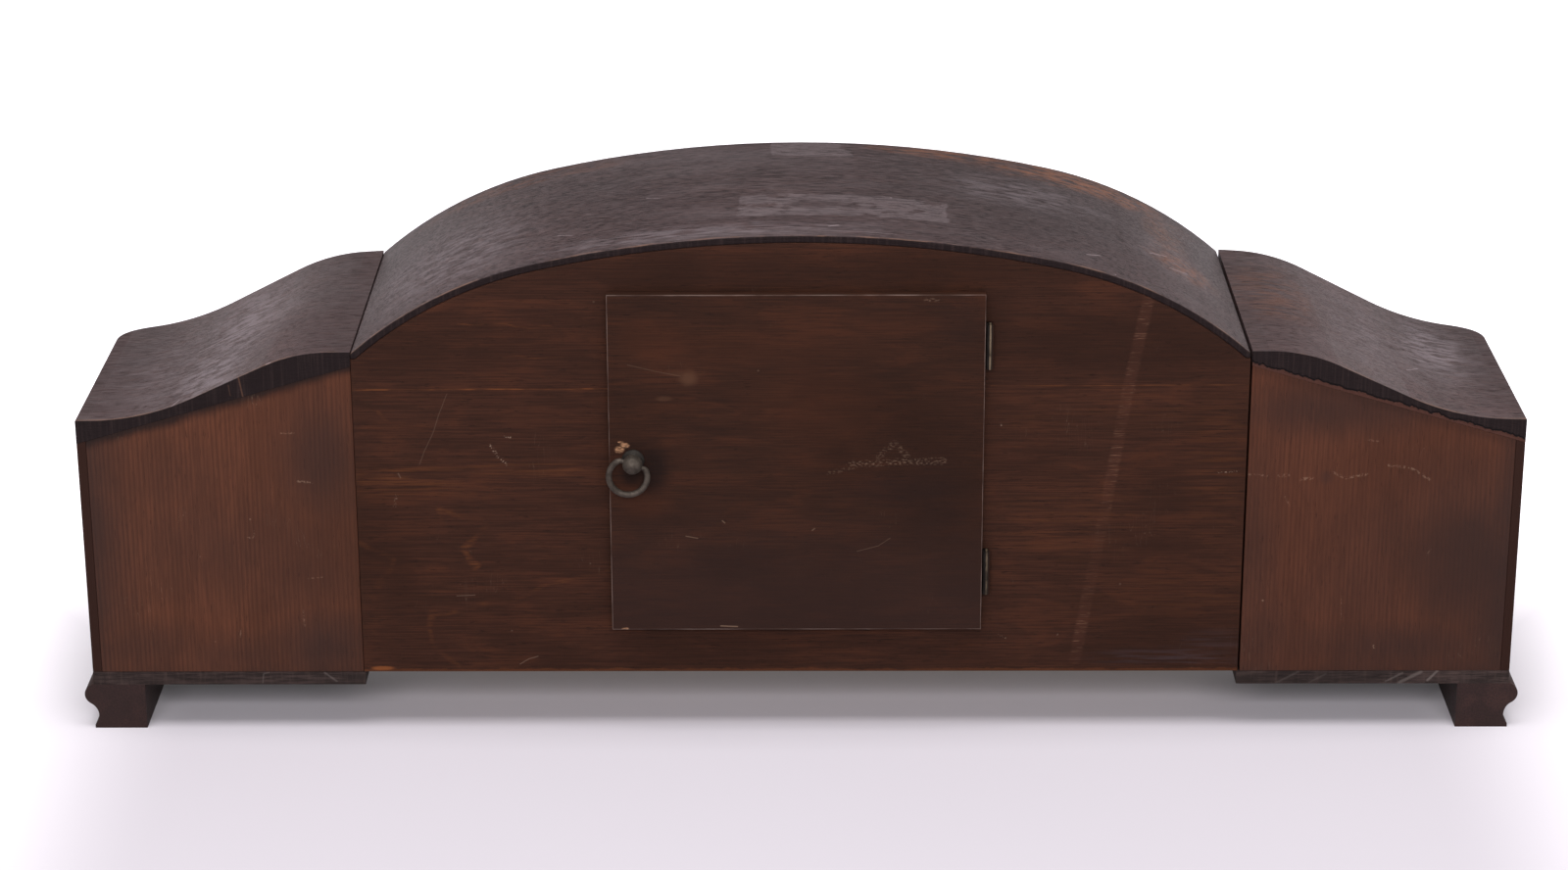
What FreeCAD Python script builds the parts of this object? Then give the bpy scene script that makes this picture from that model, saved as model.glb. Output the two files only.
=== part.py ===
import FreeCAD, Part
import math
import os
import types

import Sketcher

# Arched mantel clock with a hinged back door, a striking spring movement and a pendulum.
# The dial faces -Y and the back door faces +Y. Millimetres, +Z up.
# The origin is on the floor, midway between the two ends of the case.

DOC = FreeCAD.newDocument("MantelClock")
SHEET = DOC.addObject("Spreadsheet::Sheet", "Sizes")

SIZES = {
    # Case
    "half_length": 305.0,
    "centre_half": 188.0,
    "depth": 140.0,
    "foot_height": 20.5,
    "plank_thickness": 6.0,
    "plank_lap": 0.5,
    "arch_height": 222.8,
    "crown_radius": 510.0,
    "crown_half": 110.0,
    "flank_radius": 176.0,
    "arch_thickness": 3.0,
    "panel_thickness": 8.0,
    "board_thickness": 6.0,
    "partition_thickness": 8.0,
    "base_thickness": 6.0,
    "panel_hole_radius": 66.0,
    # Shoulders
    "joint_gap_plus": 0.15,
    "joint_gap_minus": 0.8,
    "sweep_angle": 9.95,
    "corner_radius": 17.0,
    "wrap_thickness": 4.0,
    "shoulder_board": 8.0,
    "cap_inner_height": 166.0,
    "cap_fall": 34.5,
    "crest_offset": 8.0,
    "crest_rise": 6.1,
    "crest_share": 0.3625,
    "trough_offset": 5.0,
    "trough_rise": 10.2,
    "trough_share": 0.5437,
    # Feet
    "foot_width": 22.5,
    "foot_toe": 0.5,
    "foot_toe_height": 1.5,
    "foot_waist_height": 11.5,
    "foot_waist_radius": 6.5,
    "foot_bulge_radius": 4.8,
    "foot_shoulder": 1.5,
    "foot_length": 46.0,
    "front_foot_start": 4.0,
    "front_foot_length": 38.0,
    # Back door and its hinges
    "door_hinge_edge": -77.0,
    "door_bottom": 48.0,
    "door_width": 157.4,
    "door_height": 150.5,
    "door_thickness": 4.0,
    "door_gap": 0.15,
    "door_overlap": 8.0,
    "hinge_height": 19.5,
    "hinge_upper": 175.3,
    "hinge_lower": 73.7,
    "hinge_offset": 1.9,
    "hinge_axis_height": 2.4,
    "knuckle_radius": 1.7,
    "knuckle_gap": 0.1,
    "web_half": 0.8,
    "leaf_thickness": 0.8,
    "leaf_width": 6.5,
    "hinge_pin_radius": 0.6,
    "press_clearance": 0.02,
    "running_clearance": 0.05,
    # Ring pull and door clip
    "knob_x": 70.4,
    "knob_z": 125.5,
    "rosette_radius": 4.8,
    "rosette_thickness": 1.2,
    "knob_post_radius": 1.9,
    "ball_radius": 4.2,
    "ball_stand": 5.3,
    "shank_radius": 1.5,
    "shank_length": 4.0,
    "ring_radius": 8.1,
    "ring_wire": 1.35,
    "ring_pivot_radius": 0.9,
    "ring_pivot_depth": 1.3,
    "ring_ball_gap": 0.2,
    "ring_tilt": 20.0,
    "clip_thickness": 0.8,
    "clip_half_height": 4.0,
    "clip_foot": 14.0,
    "clip_gap": 0.2,
    "clip_reach": 4.5,
    # Dial, bezel and hands
    "centre_height": 124.5,
    "dial_radius": 74.0,
    "dial_thickness": 1.2,
    "dial_centre_hole": 4.0,
    "winding_hole_radius": 4.5,
    "bezel_radius": 79.0,
    "bezel_wall": 4.0,
    "bezel_gap": 0.2,
    "bezel_side": 3.8,
    "bezel_height": 11.5,
    "bezel_sight_radius": 67.0,
    "bezel_lip": 2.3,
    "bezel_nose_radius": 12.0,
    "glass_radius": 72.4,
    "glass_thickness": 2.0,
    "glass_clearance": 0.1,
    "glass_dome": 6.5,
    "bezel_axis_offset": 3.0,
    "bezel_axis_height": 2.4,
    "bezel_knuckle_radius": 2.0,
    "bezel_knuckle_height": 6.0,
    "bezel_pin_radius": 0.8,
    "bezel_leaf_width": 11.0,
    "bezel_leaf_thickness": 1.0,
    "bezel_tab_width": 8.0,
    "bezel_tab_reach": 3.0,
    "bezel_tab_thickness": 1.6,
    "rest_hour": 10.0,
    "rest_minute": 9.0,
    "hour_hand_length": 42.0,
    "minute_hand_length": 59.0,
    "hand_thickness": 0.7,
    "hand_width": 7.0,
    "hand_hub_wall": 2.4,
    "hand_tail": 9.0,
    "hand_stand": 1.6,
    "hand_space": 1.2,
    "hand_nut_radius": 2.8,
    "hand_nut_height": 1.6,
    # Movement frame
    "plate_half_width": 70.0,
    "plate_top": 66.0,
    "plate_bottom": 57.0,
    "plate_corner": 9.0,
    "plate_thickness": 2.0,
    "plate_space": 42.0,
    "post_length": 14.0,
    "pillar_radius": 3.6,
    "pillar_inset": 7.5,
    "post_radius": 4.2,
    "nut_radius": 4.2,
    "nut_height": 3.0,
    "arbor_radius": 1.5,
    "fine_arbor_radius": 1.0,
    "pivot_radius": 1.0,
    "end_shake": 0.3,
    # Trains: teeth and modules
    "great_teeth": 63,
    "great_pinion_teeth": 9,
    "great_module": 0.85,
    "second_teeth": 54,
    "centre_pinion_teeth": 9,
    "second_module": 0.82,
    "centre_teeth": 84,
    "third_pinion_teeth": 7,
    "centre_module": 0.55,
    "third_teeth": 77,
    "escape_pinion_teeth": 7,
    "third_module": 0.5,
    "strike_teeth": 60,
    "fly_pinion_teeth": 8,
    "strike_module": 0.65,
    "cannon_teeth": 10,
    "minute_teeth": 30,
    "minute_pinion_teeth": 8,
    "hour_teeth": 32,
    "motion_module": 0.8,
    "escape_teeth": 40,
    "escape_radius": 13.0,
    "escape_depth": 3.0,
    # Trains: where the arbors stand, as clock angles
    "second_angle": 171.3,
    "barrel_angle": 83.7,
    "third_angle": 30.0,
    "pin_wheel_angle": -10.0,
    "fly_angle": 20.0,
    # Trains: depths behind the front plate
    "wheel_thickness": 1.4,
    "centre_wheel_place": 1.2,
    "third_pinion_place": 0.5,
    "pinion_length": 5.0,
    "third_wheel_place": 10.0,
    "escape_wheel_place": 32.0,
    "great_wheel_place": 32.0,
    "second_wheel_place": 37.0,
    # Barrels and winding
    "drum_radius": 24.5,
    "drum_wall": 1.2,
    "drum_length": 28.0,
    "great_wheel_thickness": 2.0,
    "barrel_arbor_radius": 2.5,
    "spring_inner_radius": 11.0,
    "core_radius": 6.0,
    "spring_gap": 0.2,
    "winding_square": 4.2,
    "winding_square_length": 16.0,
    "ratchet_teeth": 24,
    "ratchet_radius": 9.0,
    "ratchet_depth": 1.2,
    "ratchet_thickness": 2.4,
    "ratchet_gap": 0.6,
    "click_swing": 55.0,
    "click_pivot": 13.5,
    "click_width": 4.4,
    "click_clearance": 0.2,
    "stud_radius": 1.2,
    # Motion work in front of the front plate
    "minute_wheel_gap": 4.6,
    "hour_wheel_gap": 8.6,
    "cannon_pipe_radius": 2.2,
    "hour_pipe_radius": 3.0,
    # Escapement and pendulum
    "anchor_distance": 17.5,
    "pallet_gap": 1.4,
    "anchor_width": 3.4,
    "anchor_reach": 56.0,
    "anchor_hub": 3.2,
    "crutch_gap": 2.0,
    "crutch_thickness": 2.0,
    "crutch_half_width": 1.5,
    "crutch_drop": 40.0,
    "prong_height": 3.0,
    "prong_width": 1.0,
    "prong_clearance": 0.25,
    "cock_gap": 3.0,
    "cock_thickness": 2.0,
    "cock_half_width": 18.0,
    "cock_leg": 4.0,
    "cock_below": 5.0,
    "cock_above": 12.0,
    "hanger_half_width": 4.0,
    "hanger_depth": 8.0,
    "hanger_height": 2.5,
    "spring_thickness": 0.2,
    "spring_half_width": 3.0,
    "spring_flex_gap": 0.25,
    "clamp_height": 5.0,
    "clamp_half_depth": 2.0,
    "rod_radius": 0.9,
    "bob_drop": 112.0,
    "bob_radius": 17.0,
    "bob_thickness": 9.0,
    "rating_nut_radius": 4.0,
    "rating_nut_height": 3.0,
    "rod_end": 5.0,
    # Strike
    "pin_count": 8,
    "pin_circle": 15.5,
    "pin_radius": 0.8,
    "pin_length": 2.4,
    "fly_radius": 13.0,
    "fly_length": 22.0,
    "fly_thickness": 0.8,
    "fly_place": 6.0,
    "hammer_x": -64.0,
    "hammer_z": -14.0,
    "hammer_tail_gap": 0.6,
    "hammer_tail_width": 3.0,
    "hammer_reach": 40.0,
    "hammer_wire": 1.1,
    "hammer_head_radius": 4.0,
    "hammer_head_height": 14.0,
    "hammer_lift_gap": 1.6,
    "rod_height": 60.0,
    "gong_rod_radius": 1.75,
    "rod_spacing": 10.0,
    "rod_first": 26.0,
    "rod_length": 250.0,
    "rod_step": 18.0,
    "rod_count": 3,
    "rod_seat": 12.0,
    "block_width": 20.0,
    "block_height": 40.0,
    "block_margin": 10.0,
    "block_gap": 2.0,
}

X_AXIS = FreeCAD.Vector(1, 0, 0)
Y_AXIS = FreeCAD.Vector(0, 1, 0)
Z_AXIS = FreeCAD.Vector(0, 0, 1)
NO_TURN = FreeCAD.Rotation()
Z_TO_Y = FreeCAD.Rotation(X_AXIS, -90)
SIDES = {"left": -1, "right": 1}
TINY = 1e-9


class Dim:
    """A size known both as a number and as an expression on the sheet."""

    def __init__(self, value, text):
        self.value = value
        self.text = text

    def __add__(self, other):
        other = as_dim(other)
        return Dim(self.value + other.value, f"({self.text} + {other.text})")

    def __sub__(self, other):
        other = as_dim(other)
        return Dim(self.value - other.value, f"({self.text} - {other.text})")

    def __mul__(self, other):
        other = as_dim(other)
        return Dim(self.value * other.value, f"({self.text} * {other.text})")

    def __truediv__(self, other):
        other = as_dim(other)
        return Dim(self.value / other.value, f"({self.text} / {other.text})")

    def __neg__(self):
        return Dim(-self.value, f"(0 - {self.text})")

    def __rsub__(self, other):
        return as_dim(other) - self

    def __rtruediv__(self, other):
        return as_dim(other) / self

    __radd__ = __add__
    __rmul__ = __mul__


def as_dim(number):
    if isinstance(number, Dim):
        return number
    return Dim(float(number), f"({number})")


def sine(angle):
    return Dim(math.sin(math.radians(angle.value)), f"sin({angle.text})")


def cosine(angle):
    return Dim(math.cos(math.radians(angle.value)), f"cos({angle.text})")


def tangent(angle):
    return Dim(math.tan(math.radians(angle.value)), f"tan({angle.text})")


def root(square):
    return Dim(math.sqrt(square.value), f"sqrt({square.text})")


def fill_sheet():
    dims = {}
    for row, (alias, number) in enumerate(SIZES.items(), start=1):
        SHEET.set(f"A{row}", alias)
        SHEET.set(f"B{row}", str(number))
        SHEET.setAlias(f"B{row}", alias)
        dims[alias] = Dim(number, f"Sizes.{alias}")
    DOC.recompute()
    return types.SimpleNamespace(**dims)


s = fill_sheet()
parts = {}


# Helpers: document objects

def keep(obj, name):
    """Register an object as a finished sub-part under its name."""
    obj.Label = name
    parts[name] = obj
    return obj


def bind(obj, prop, dim):
    obj.setExpression(prop, as_dim(dim).text)


def place(obj, x=0, y=0, z=0, turn=NO_TURN):
    """Put an object at x, y, z, each bound to the sheet."""
    obj.Placement = FreeCAD.Placement(FreeCAD.Vector(), turn)
    for axis, dim in (("x", x), ("y", y), ("z", z)):
        bind(obj, f"Placement.Base.{axis}", dim)
    return obj


def box(name, low, high):
    """A Part::Box between two corners."""
    obj = DOC.addObject("Part::Box", name)
    for prop, a, b in zip(("Length", "Width", "Height"), low, high):
        bind(obj, prop, as_dim(b) - a)
    return place(obj, *low)


def rod_y(name, radius, y_low, y_high, x=0, z=0):
    """A Part::Cylinder along Y."""
    obj = DOC.addObject("Part::Cylinder", name)
    bind(obj, "Radius", radius)
    bind(obj, "Height", as_dim(y_high) - y_low)
    return place(obj, x, y_low, z, Z_TO_Y)


def rod_z(name, radius, z_low, z_high, x=0, y=0):
    """A Part::Cylinder along Z."""
    obj = DOC.addObject("Part::Cylinder", name)
    bind(obj, "Radius", radius)
    bind(obj, "Height", as_dim(z_high) - z_low)
    return place(obj, x, y, z_low)


def fuse(name, pieces):
    obj = DOC.addObject("Part::MultiFuse", name)
    obj.Shapes = pieces
    return obj


def group(name, pieces):
    """Separate solids that share one node."""
    obj = DOC.addObject("Part::Compound", name)
    obj.Links = pieces
    return obj


def cut(name, base, tool):
    obj = DOC.addObject("Part::Cut", name)
    obj.Base = base
    obj.Tool = tool
    return obj


def new_body(name):
    return DOC.addObject("PartDesign::Body", name)


def sketch_on(body, role, name):
    plane = [f for f in body.Origin.OriginFeatures if f.Role == role][0]
    sketch = body.newObject("Sketcher::SketchObject", name)
    sketch.AttachmentSupport = [(plane, "")]
    sketch.MapMode = "FlatFace"
    return sketch


def lock(sketch, geometry, end, x, y):
    """Hold one point of a sketch at x, y."""
    for kind, dim, axis in (("DistanceX", x, -2), ("DistanceY", y, -1)):
        if abs(dim.value) < TINY:
            sketch.addConstraint(Sketcher.Constraint("PointOnObject", geometry, end, axis))
            continue
        number = sketch.addConstraint(Sketcher.Constraint(kind, -1, 1, geometry, end, dim.value))
        bind(sketch, f"Constraints[{number}]", dim)


def arc_between(start, end, radius, turn):
    """The arc shorter than a half turn from start to end; turn is 1 anticlockwise, -1 clockwise."""
    first, last = (start, end) if turn > 0 else (end, start)
    chord = last - first
    half = chord.Length / 2
    left = FreeCAD.Vector(-chord.y, chord.x, 0).normalize()
    middle = (first + last) / 2
    centre = middle + left * math.sqrt(radius ** 2 - half ** 2)
    angles = [math.atan2(p.y - centre.y, p.x - centre.x) for p in (first, last)]
    return Part.ArcOfCircle(Part.Circle(centre, Z_AXIS, radius), *angles)


def add_loop(sketch, points, arcs=None):
    """A closed outline through points; arcs gives radius and turn of the stretch after a point."""
    arcs = arcs or {}
    points = [(as_dim(x), as_dim(y)) for x, y in points]
    ends = [FreeCAD.Vector(x.value, y.value, 0) for x, y in points]
    joints = []
    for i, start in enumerate(ends):
        end = ends[(i + 1) % len(ends)]
        if i in arcs:
            radius, turn = as_dim(arcs[i][0]), arcs[i][1]
            number = sketch.addGeometry(arc_between(start, end, radius.value, turn))
            first, last = (1, 2) if turn > 0 else (2, 1)
        else:
            number = sketch.addGeometry(Part.LineSegment(start, end))
            first, last = 1, 2
        joints.append((number, first, last))
    for i, (number, first, last) in enumerate(joints):
        after = joints[(i + 1) % len(joints)]
        sketch.addConstraint(Sketcher.Constraint("Coincident", number, last, after[0], after[1]))
    for i, (number, first, last) in enumerate(joints):
        lock(sketch, number, first, *points[i])
    for i, (radius, turn) in arcs.items():
        radius = as_dim(radius)
        held = sketch.addConstraint(Sketcher.Constraint("Radius", joints[i][0], radius.value))
        bind(sketch, f"Constraints[{held}]", radius)


def add_circle(sketch, x, y, radius):
    x, y, radius = as_dim(x), as_dim(y), as_dim(radius)
    circle = Part.Circle(FreeCAD.Vector(x.value, y.value, 0), Z_AXIS, radius.value)
    number = sketch.addGeometry(circle)
    lock(sketch, number, 3, x, y)
    held = sketch.addConstraint(Sketcher.Constraint("Radius", number, radius.value))
    bind(sketch, f"Constraints[{held}]", radius)


def pad(body, sketch, length):
    feature = body.newObject("PartDesign::Pad", f"{body.Name}_pad")
    feature.Profile = sketch
    bind(feature, "Length", length)
    body.Tip = feature
    return feature


def pocket_through(body, sketch):
    """Cut the whole body, on both sides of the sketch."""
    feature = body.newObject("PartDesign::Pocket", f"{body.Name}_{sketch.Name}_cut")
    feature.Profile = sketch
    feature.Type = "ThroughAll"
    feature.Midplane = True
    body.Tip = feature
    return feature


def slab_y(name, y_low, y_high, points, arcs=None, circles=(), loops=()):
    """A body padded along Y from an X, Z outline with round and straight-sided openings."""
    body = new_body(name)
    sketch = sketch_on(body, "XZ_Plane", f"{name}_outline")
    bind(sketch, "AttachmentOffset.Base.z", -as_dim(y_high))
    add_loop(sketch, points, arcs)
    for x, z, radius in circles:
        add_circle(sketch, x, z, radius)
    for loop in loops:
        add_loop(sketch, loop)
    pad(body, sketch, as_dim(y_high) - y_low)
    return body


def turned(name, points, arcs=None):
    """A body turned about its Y axis from a profile of y, radius points."""
    body = new_body(name)
    sketch = sketch_on(body, "YZ_Plane", f"{name}_profile")
    add_loop(sketch, points, arcs)
    feature = body.newObject("PartDesign::Revolution", f"{name}_turning")
    feature.Profile = sketch
    feature.ReferenceAxis = (sketch, ["H_Axis"])
    feature.Angle = 360.0
    body.Tip = feature
    return body


def rectangle(x_low, z_low, x_high, z_high):
    return [(x_low, z_low), (x_high, z_low), (x_high, z_high), (x_low, z_high)]


# Levels shared by many pieces

front = -s.depth / 2
back = s.depth / 2
box_bottom = s.foot_height + s.plank_thickness
panel_back = front + s.panel_thickness
board_front = back - s.board_thickness
door_low = back + s.door_gap
door_high = door_low + s.door_thickness

# The arch: a crown arc between two tighter flank arcs that start tangent to it
crown_sine = s.crown_half / s.crown_radius
crown_cosine = root(1 - crown_sine * crown_sine)
flank_sine = crown_sine + (s.centre_half - s.crown_half) / s.flank_radius
flank_cosine = root(1 - flank_sine * flank_sine)
crown_end = s.arch_height - s.crown_radius * (1 - crown_cosine)
flank_end = crown_end - s.flank_radius * (crown_cosine - flank_cosine)
under_crown_half = s.crown_half - s.arch_thickness * crown_sine
under_crown_end = crown_end - s.arch_thickness * crown_cosine
under_half = s.centre_half - s.arch_thickness * flank_sine
under_end = flank_end - s.arch_thickness * flank_cosine


def centre_outline(bottom):
    """Outline of the middle of the case below the arched sheet, clockwise from its lower left."""
    points = [
        (-s.centre_half, bottom),
        (-s.centre_half, under_end),
        (-under_half, under_end),
        (-under_crown_half, under_crown_end),
        (under_crown_half, under_crown_end),
        (under_half, under_end),
        (s.centre_half, under_end),
        (s.centre_half, bottom),
    ]
    arcs = {
        2: (s.flank_radius - s.arch_thickness, -1),
        3: (s.crown_radius - s.arch_thickness, -1),
        4: (s.flank_radius - s.arch_thickness, -1),
    }
    return points, arcs


def make_centre():
    """Front panel, back board, arched sheet, partitions and base board."""
    points, arcs = centre_outline(box_bottom)
    hole = [(0, s.centre_height, s.panel_hole_radius)]
    keep(slab_y("front_panel", front, panel_back, points, arcs, hole), "front_panel")

    low_x = s.door_hinge_edge + s.door_overlap
    high_x = s.door_hinge_edge + s.door_width - s.door_overlap
    low_z = s.door_bottom + s.door_overlap
    high_z = s.door_bottom + s.door_height - s.door_overlap
    opening = [rectangle(low_x, low_z, high_x, high_z)]
    board = slab_y("back_board_blank", board_front, back, points, arcs, loops=opening)
    mortises = group("board_mortises", hinge_mortises("board", back - s.leaf_thickness, back))
    keep(cut("back_board", board, mortises), "back_board")

    sheet_points = [
        (-s.centre_half, flank_end),
        (-s.crown_half, crown_end),
        (s.crown_half, crown_end),
        (s.centre_half, flank_end),
        (s.centre_half, under_end),
        (under_half, under_end),
        (under_crown_half, under_crown_end),
        (-under_crown_half, under_crown_end),
        (-under_half, under_end),
        (-s.centre_half, under_end),
    ]
    sheet_arcs = {
        0: (s.flank_radius, -1),
        1: (s.crown_radius, -1),
        2: (s.flank_radius, -1),
        5: (s.flank_radius - s.arch_thickness, 1),
        6: (s.crown_radius - s.arch_thickness, 1),
        7: (s.flank_radius - s.arch_thickness, 1),
    }
    keep(slab_y("arch_top", front, back, sheet_points, sheet_arcs), "arch_top")

    for side, sign in SIDES.items():
        outer = sign * s.centre_half
        inner = sign * (s.centre_half - s.partition_thickness)
        low, high = sorted((inner, outer), key=lambda d: d.value)
        name = f"partition_{side}"
        keep(box(name, (low, panel_back, box_bottom), (high, board_front, under_end)), name)

    reach = s.centre_half - s.partition_thickness
    top = box_bottom + s.base_thickness
    keep(box("base_board", (-reach, panel_back, box_bottom), (reach, board_front, top)), "base_board")


# Shoulder plan: the front sweeps back to a rounded corner, then a straight end

corner_y = front + tangent(s.sweep_angle) * (s.half_length - s.centre_half)
corner_tangent = s.corner_radius / tangent(45 + s.sweep_angle / 2)
end_y = corner_y + corner_tangent
front_x = s.half_length - corner_tangent * cosine(s.sweep_angle)
front_y = corner_y - corner_tangent * sine(s.sweep_angle)


def joint_gap(sign):
    return s.joint_gap_plus if sign > 0 else s.joint_gap_minus


def inner_x(sign):
    """Where a shoulder starts, beside the middle of the case."""
    return s.centre_half + joint_gap(sign)


def swept_y(x):
    return front + tangent(s.sweep_angle) * (x - s.centre_half)


def plan_points(sign, start):
    """Whole plan of a shoulder, from its inner front corner round to its inner back corner."""
    points = [
        (start, swept_y(start)),
        (front_x, front_y),
        (s.half_length, end_y),
        (s.half_length, back),
        (start, back),
    ]
    return [(sign * x, y) for x, y in points], {1: (s.corner_radius, sign)}


def slant(x):
    """Height of the straight joint below a shoulder's cap at a distance x from the middle."""
    run = s.half_length - s.centre_half
    return s.cap_inner_height - s.cap_fall * (x - s.centre_half) / run


def make_wrap(side, sign):
    """Bent front and end of a shoulder, cut off along the slanted joint below the cap."""
    start = inner_x(sign)
    wall = s.wrap_thickness
    inset_x = wall * sine(s.sweep_angle)
    inset_y = wall * cosine(s.sweep_angle)
    points = [
        (start, swept_y(start)),
        (front_x, front_y),
        (s.half_length, end_y),
        (s.half_length, back),
        (s.half_length - wall, back),
        (s.half_length - wall, end_y),
        (front_x - inset_x, front_y + inset_y),
        (start, swept_y(start) + wall / cosine(s.sweep_angle)),
    ]
    arcs = {1: (s.corner_radius, sign), 5: (s.corner_radius - wall, -sign)}
    body = new_body(f"shoulder_wrap_{side}")
    sketch = sketch_on(body, "XY_Plane", f"wrap_plan_{side}")
    bind(sketch, "AttachmentOffset.Base.z", box_bottom)
    add_loop(sketch, [(sign * x, y) for x, y in points], arcs)
    pad(body, sketch, s.cap_inner_height - box_bottom)
    DOC.recompute()
    beyond = s.half_length + s.wrap_thickness
    top = s.cap_inner_height + s.wrap_thickness
    above = [
        (s.centre_half, slant(s.centre_half)),
        (beyond, slant(beyond)),
        (beyond, top),
        (s.centre_half, top),
    ]
    trim = sketch_on(body, "XZ_Plane", f"wrap_trim_{side}")
    add_loop(trim, [(sign * x, z) for x, z in above])
    pocket_through(body, trim)
    keep(body, f"shoulder_wrap_{side}")


def wave_points():
    """Crest, fall and trough of a cap's top, from two arcs and the straight line that touches both.

    The arcs' radii are shares of the largest pair that still leaves a straight line between them.
    """
    crest_x = s.centre_half + s.crest_offset
    crest_z = s.cap_inner_height + s.crest_rise
    trough_x = s.half_length - s.trough_offset
    trough_z = s.cap_inner_height - s.cap_fall + s.trough_rise
    run = trough_x - crest_x
    fall = crest_z - trough_z
    largest = (run * run + fall * fall) / (2 * fall)
    crest_radius = s.crest_share * largest
    trough_radius = s.trough_share * largest
    both = crest_radius + trough_radius
    rise = both - fall
    span = root(run * run + rise * rise)
    reach = both / span
    rest = root(1 - reach * reach)
    slope_sine = reach * run / span - rest * rise / span
    slope_cosine = rest * run / span + reach * rise / span
    points = [
        (crest_x, crest_z),
        (crest_x + crest_radius * slope_sine, crest_z - crest_radius * (1 - slope_cosine)),
        (trough_x - trough_radius * slope_sine, trough_z + trough_radius * (1 - slope_cosine)),
        (trough_x, trough_z),
    ]
    return points, crest_radius, trough_radius


def make_cap(side, sign):
    """Solid cap with a wavy top: convex crest, straight fall, hollow trough."""
    wave_line, crest_radius, trough_radius = wave_points()
    crest_x, crest_z = wave_line[0]
    trough_z = wave_line[-1][1]
    body = new_body(f"shoulder_cap_{side}")
    plan = sketch_on(body, "XY_Plane", f"cap_plan_{side}")
    bind(plan, "AttachmentOffset.Base.z", slant(s.half_length))
    points, arcs = plan_points(sign, inner_x(sign))
    add_loop(plan, points, arcs)
    pad(body, plan, crest_z - slant(s.half_length))
    DOC.recompute()
    beyond = s.half_length + s.wrap_thickness
    top = crest_z + s.wrap_thickness
    over = wave_line + [(beyond, trough_z), (beyond, top), (crest_x, top)]
    wave_arcs = {0: (crest_radius, -sign), 2: (trough_radius, sign)}
    wave = sketch_on(body, "XZ_Plane", f"cap_wave_{side}")
    add_loop(wave, [(sign * x, z) for x, z in over], wave_arcs)
    pocket_through(body, wave)
    DOC.recompute()
    low = slant(beyond) - s.wrap_thickness
    under = [
        (s.centre_half, low),
        (beyond, low),
        (beyond, slant(beyond)),
        (s.centre_half, slant(s.centre_half)),
    ]
    below = sketch_on(body, "XZ_Plane", f"cap_seat_{side}")
    add_loop(below, [(sign * x, z) for x, z in under])
    pocket_through(body, below)
    keep(body, f"shoulder_cap_{side}")


def make_shoulder(side, sign):
    """Back, wrap, cap and base plank of one shoulder."""
    start = inner_x(sign)
    end = s.half_length - s.wrap_thickness
    points = [(start, box_bottom), (end, box_bottom), (end, slant(end)), (start, slant(start))]
    name = f"shoulder_back_{side}"
    keep(slab_y(name, back - s.shoulder_board, back, [(sign * x, z) for x, z in points]), name)
    make_wrap(side, sign)
    make_cap(side, sign)
    plank = new_body(f"base_plank_{side}")
    sketch = sketch_on(plank, "XY_Plane", f"plank_plan_{side}")
    bind(sketch, "AttachmentOffset.Base.z", s.foot_height)
    outline, arcs = plan_points(sign, s.centre_half - s.plank_lap)
    add_loop(sketch, outline, arcs)
    pad(plank, sketch, s.plank_thickness)
    keep(plank, f"base_plank_{side}")


def foot(name, sign, y_low, y_high):
    """Ogee foot block: waisted below, swelling out above."""
    toe = s.half_length + s.foot_toe
    points = [
        (toe - s.foot_width, 0),
        (toe, 0),
        (toe, s.foot_toe_height),
        (s.half_length + s.foot_shoulder, s.foot_waist_height),
        (s.half_length + s.foot_toe, s.foot_height),
        (toe - s.foot_width, s.foot_height),
    ]
    arcs = {2: (s.foot_waist_radius, -sign), 3: (s.foot_bulge_radius, sign)}
    return slab_y(name, y_low, y_high, [(sign * x, z) for x, z in points], arcs)


def make_feet():
    start = s.front_foot_start
    rear = [foot(f"rear_foot_{k}", sign, back - s.foot_length, back) for k, sign in SIDES.items()]
    ahead = [
        foot(f"front_foot_{k}", sign, start - s.front_foot_length, start) for k, sign in SIDES.items()
    ]
    keep(group("rear_feet", rear), "rear_feet")
    keep(group("front_feet", ahead), "front_feet")


# Back door, hinges and ring pull

hinge_x = s.door_hinge_edge - s.hinge_offset
hinge_y = back + s.hinge_axis_height
leaf_end = s.door_hinge_edge + s.leaf_width
HINGES = {"upper": s.hinge_upper, "lower": s.hinge_lower}


def hinge_mortises(name, y_low, y_high):
    """Sunk seats for the leaves of both hinges, in the board or in the door."""
    slack = s.running_clearance
    tools = []
    for where, z in HINGES.items():
        low = (hinge_x - s.web_half - slack, y_low - slack, z - s.hinge_height / 2 - slack)
        high = (leaf_end + slack, y_high + slack, z + s.hinge_height / 2 + slack)
        tools.append(box(f"{name}_mortise_{where}", low, high))
    return tools


def knuckle(name, z_low, z_high, bore):
    barrel = rod_z(f"{name}_barrel", s.knuckle_radius, z_low, z_high, hinge_x, hinge_y)
    hole = rod_z(f"{name}_bore", bore, z_low, z_high, hinge_x, hinge_y)
    return barrel, hole


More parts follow.
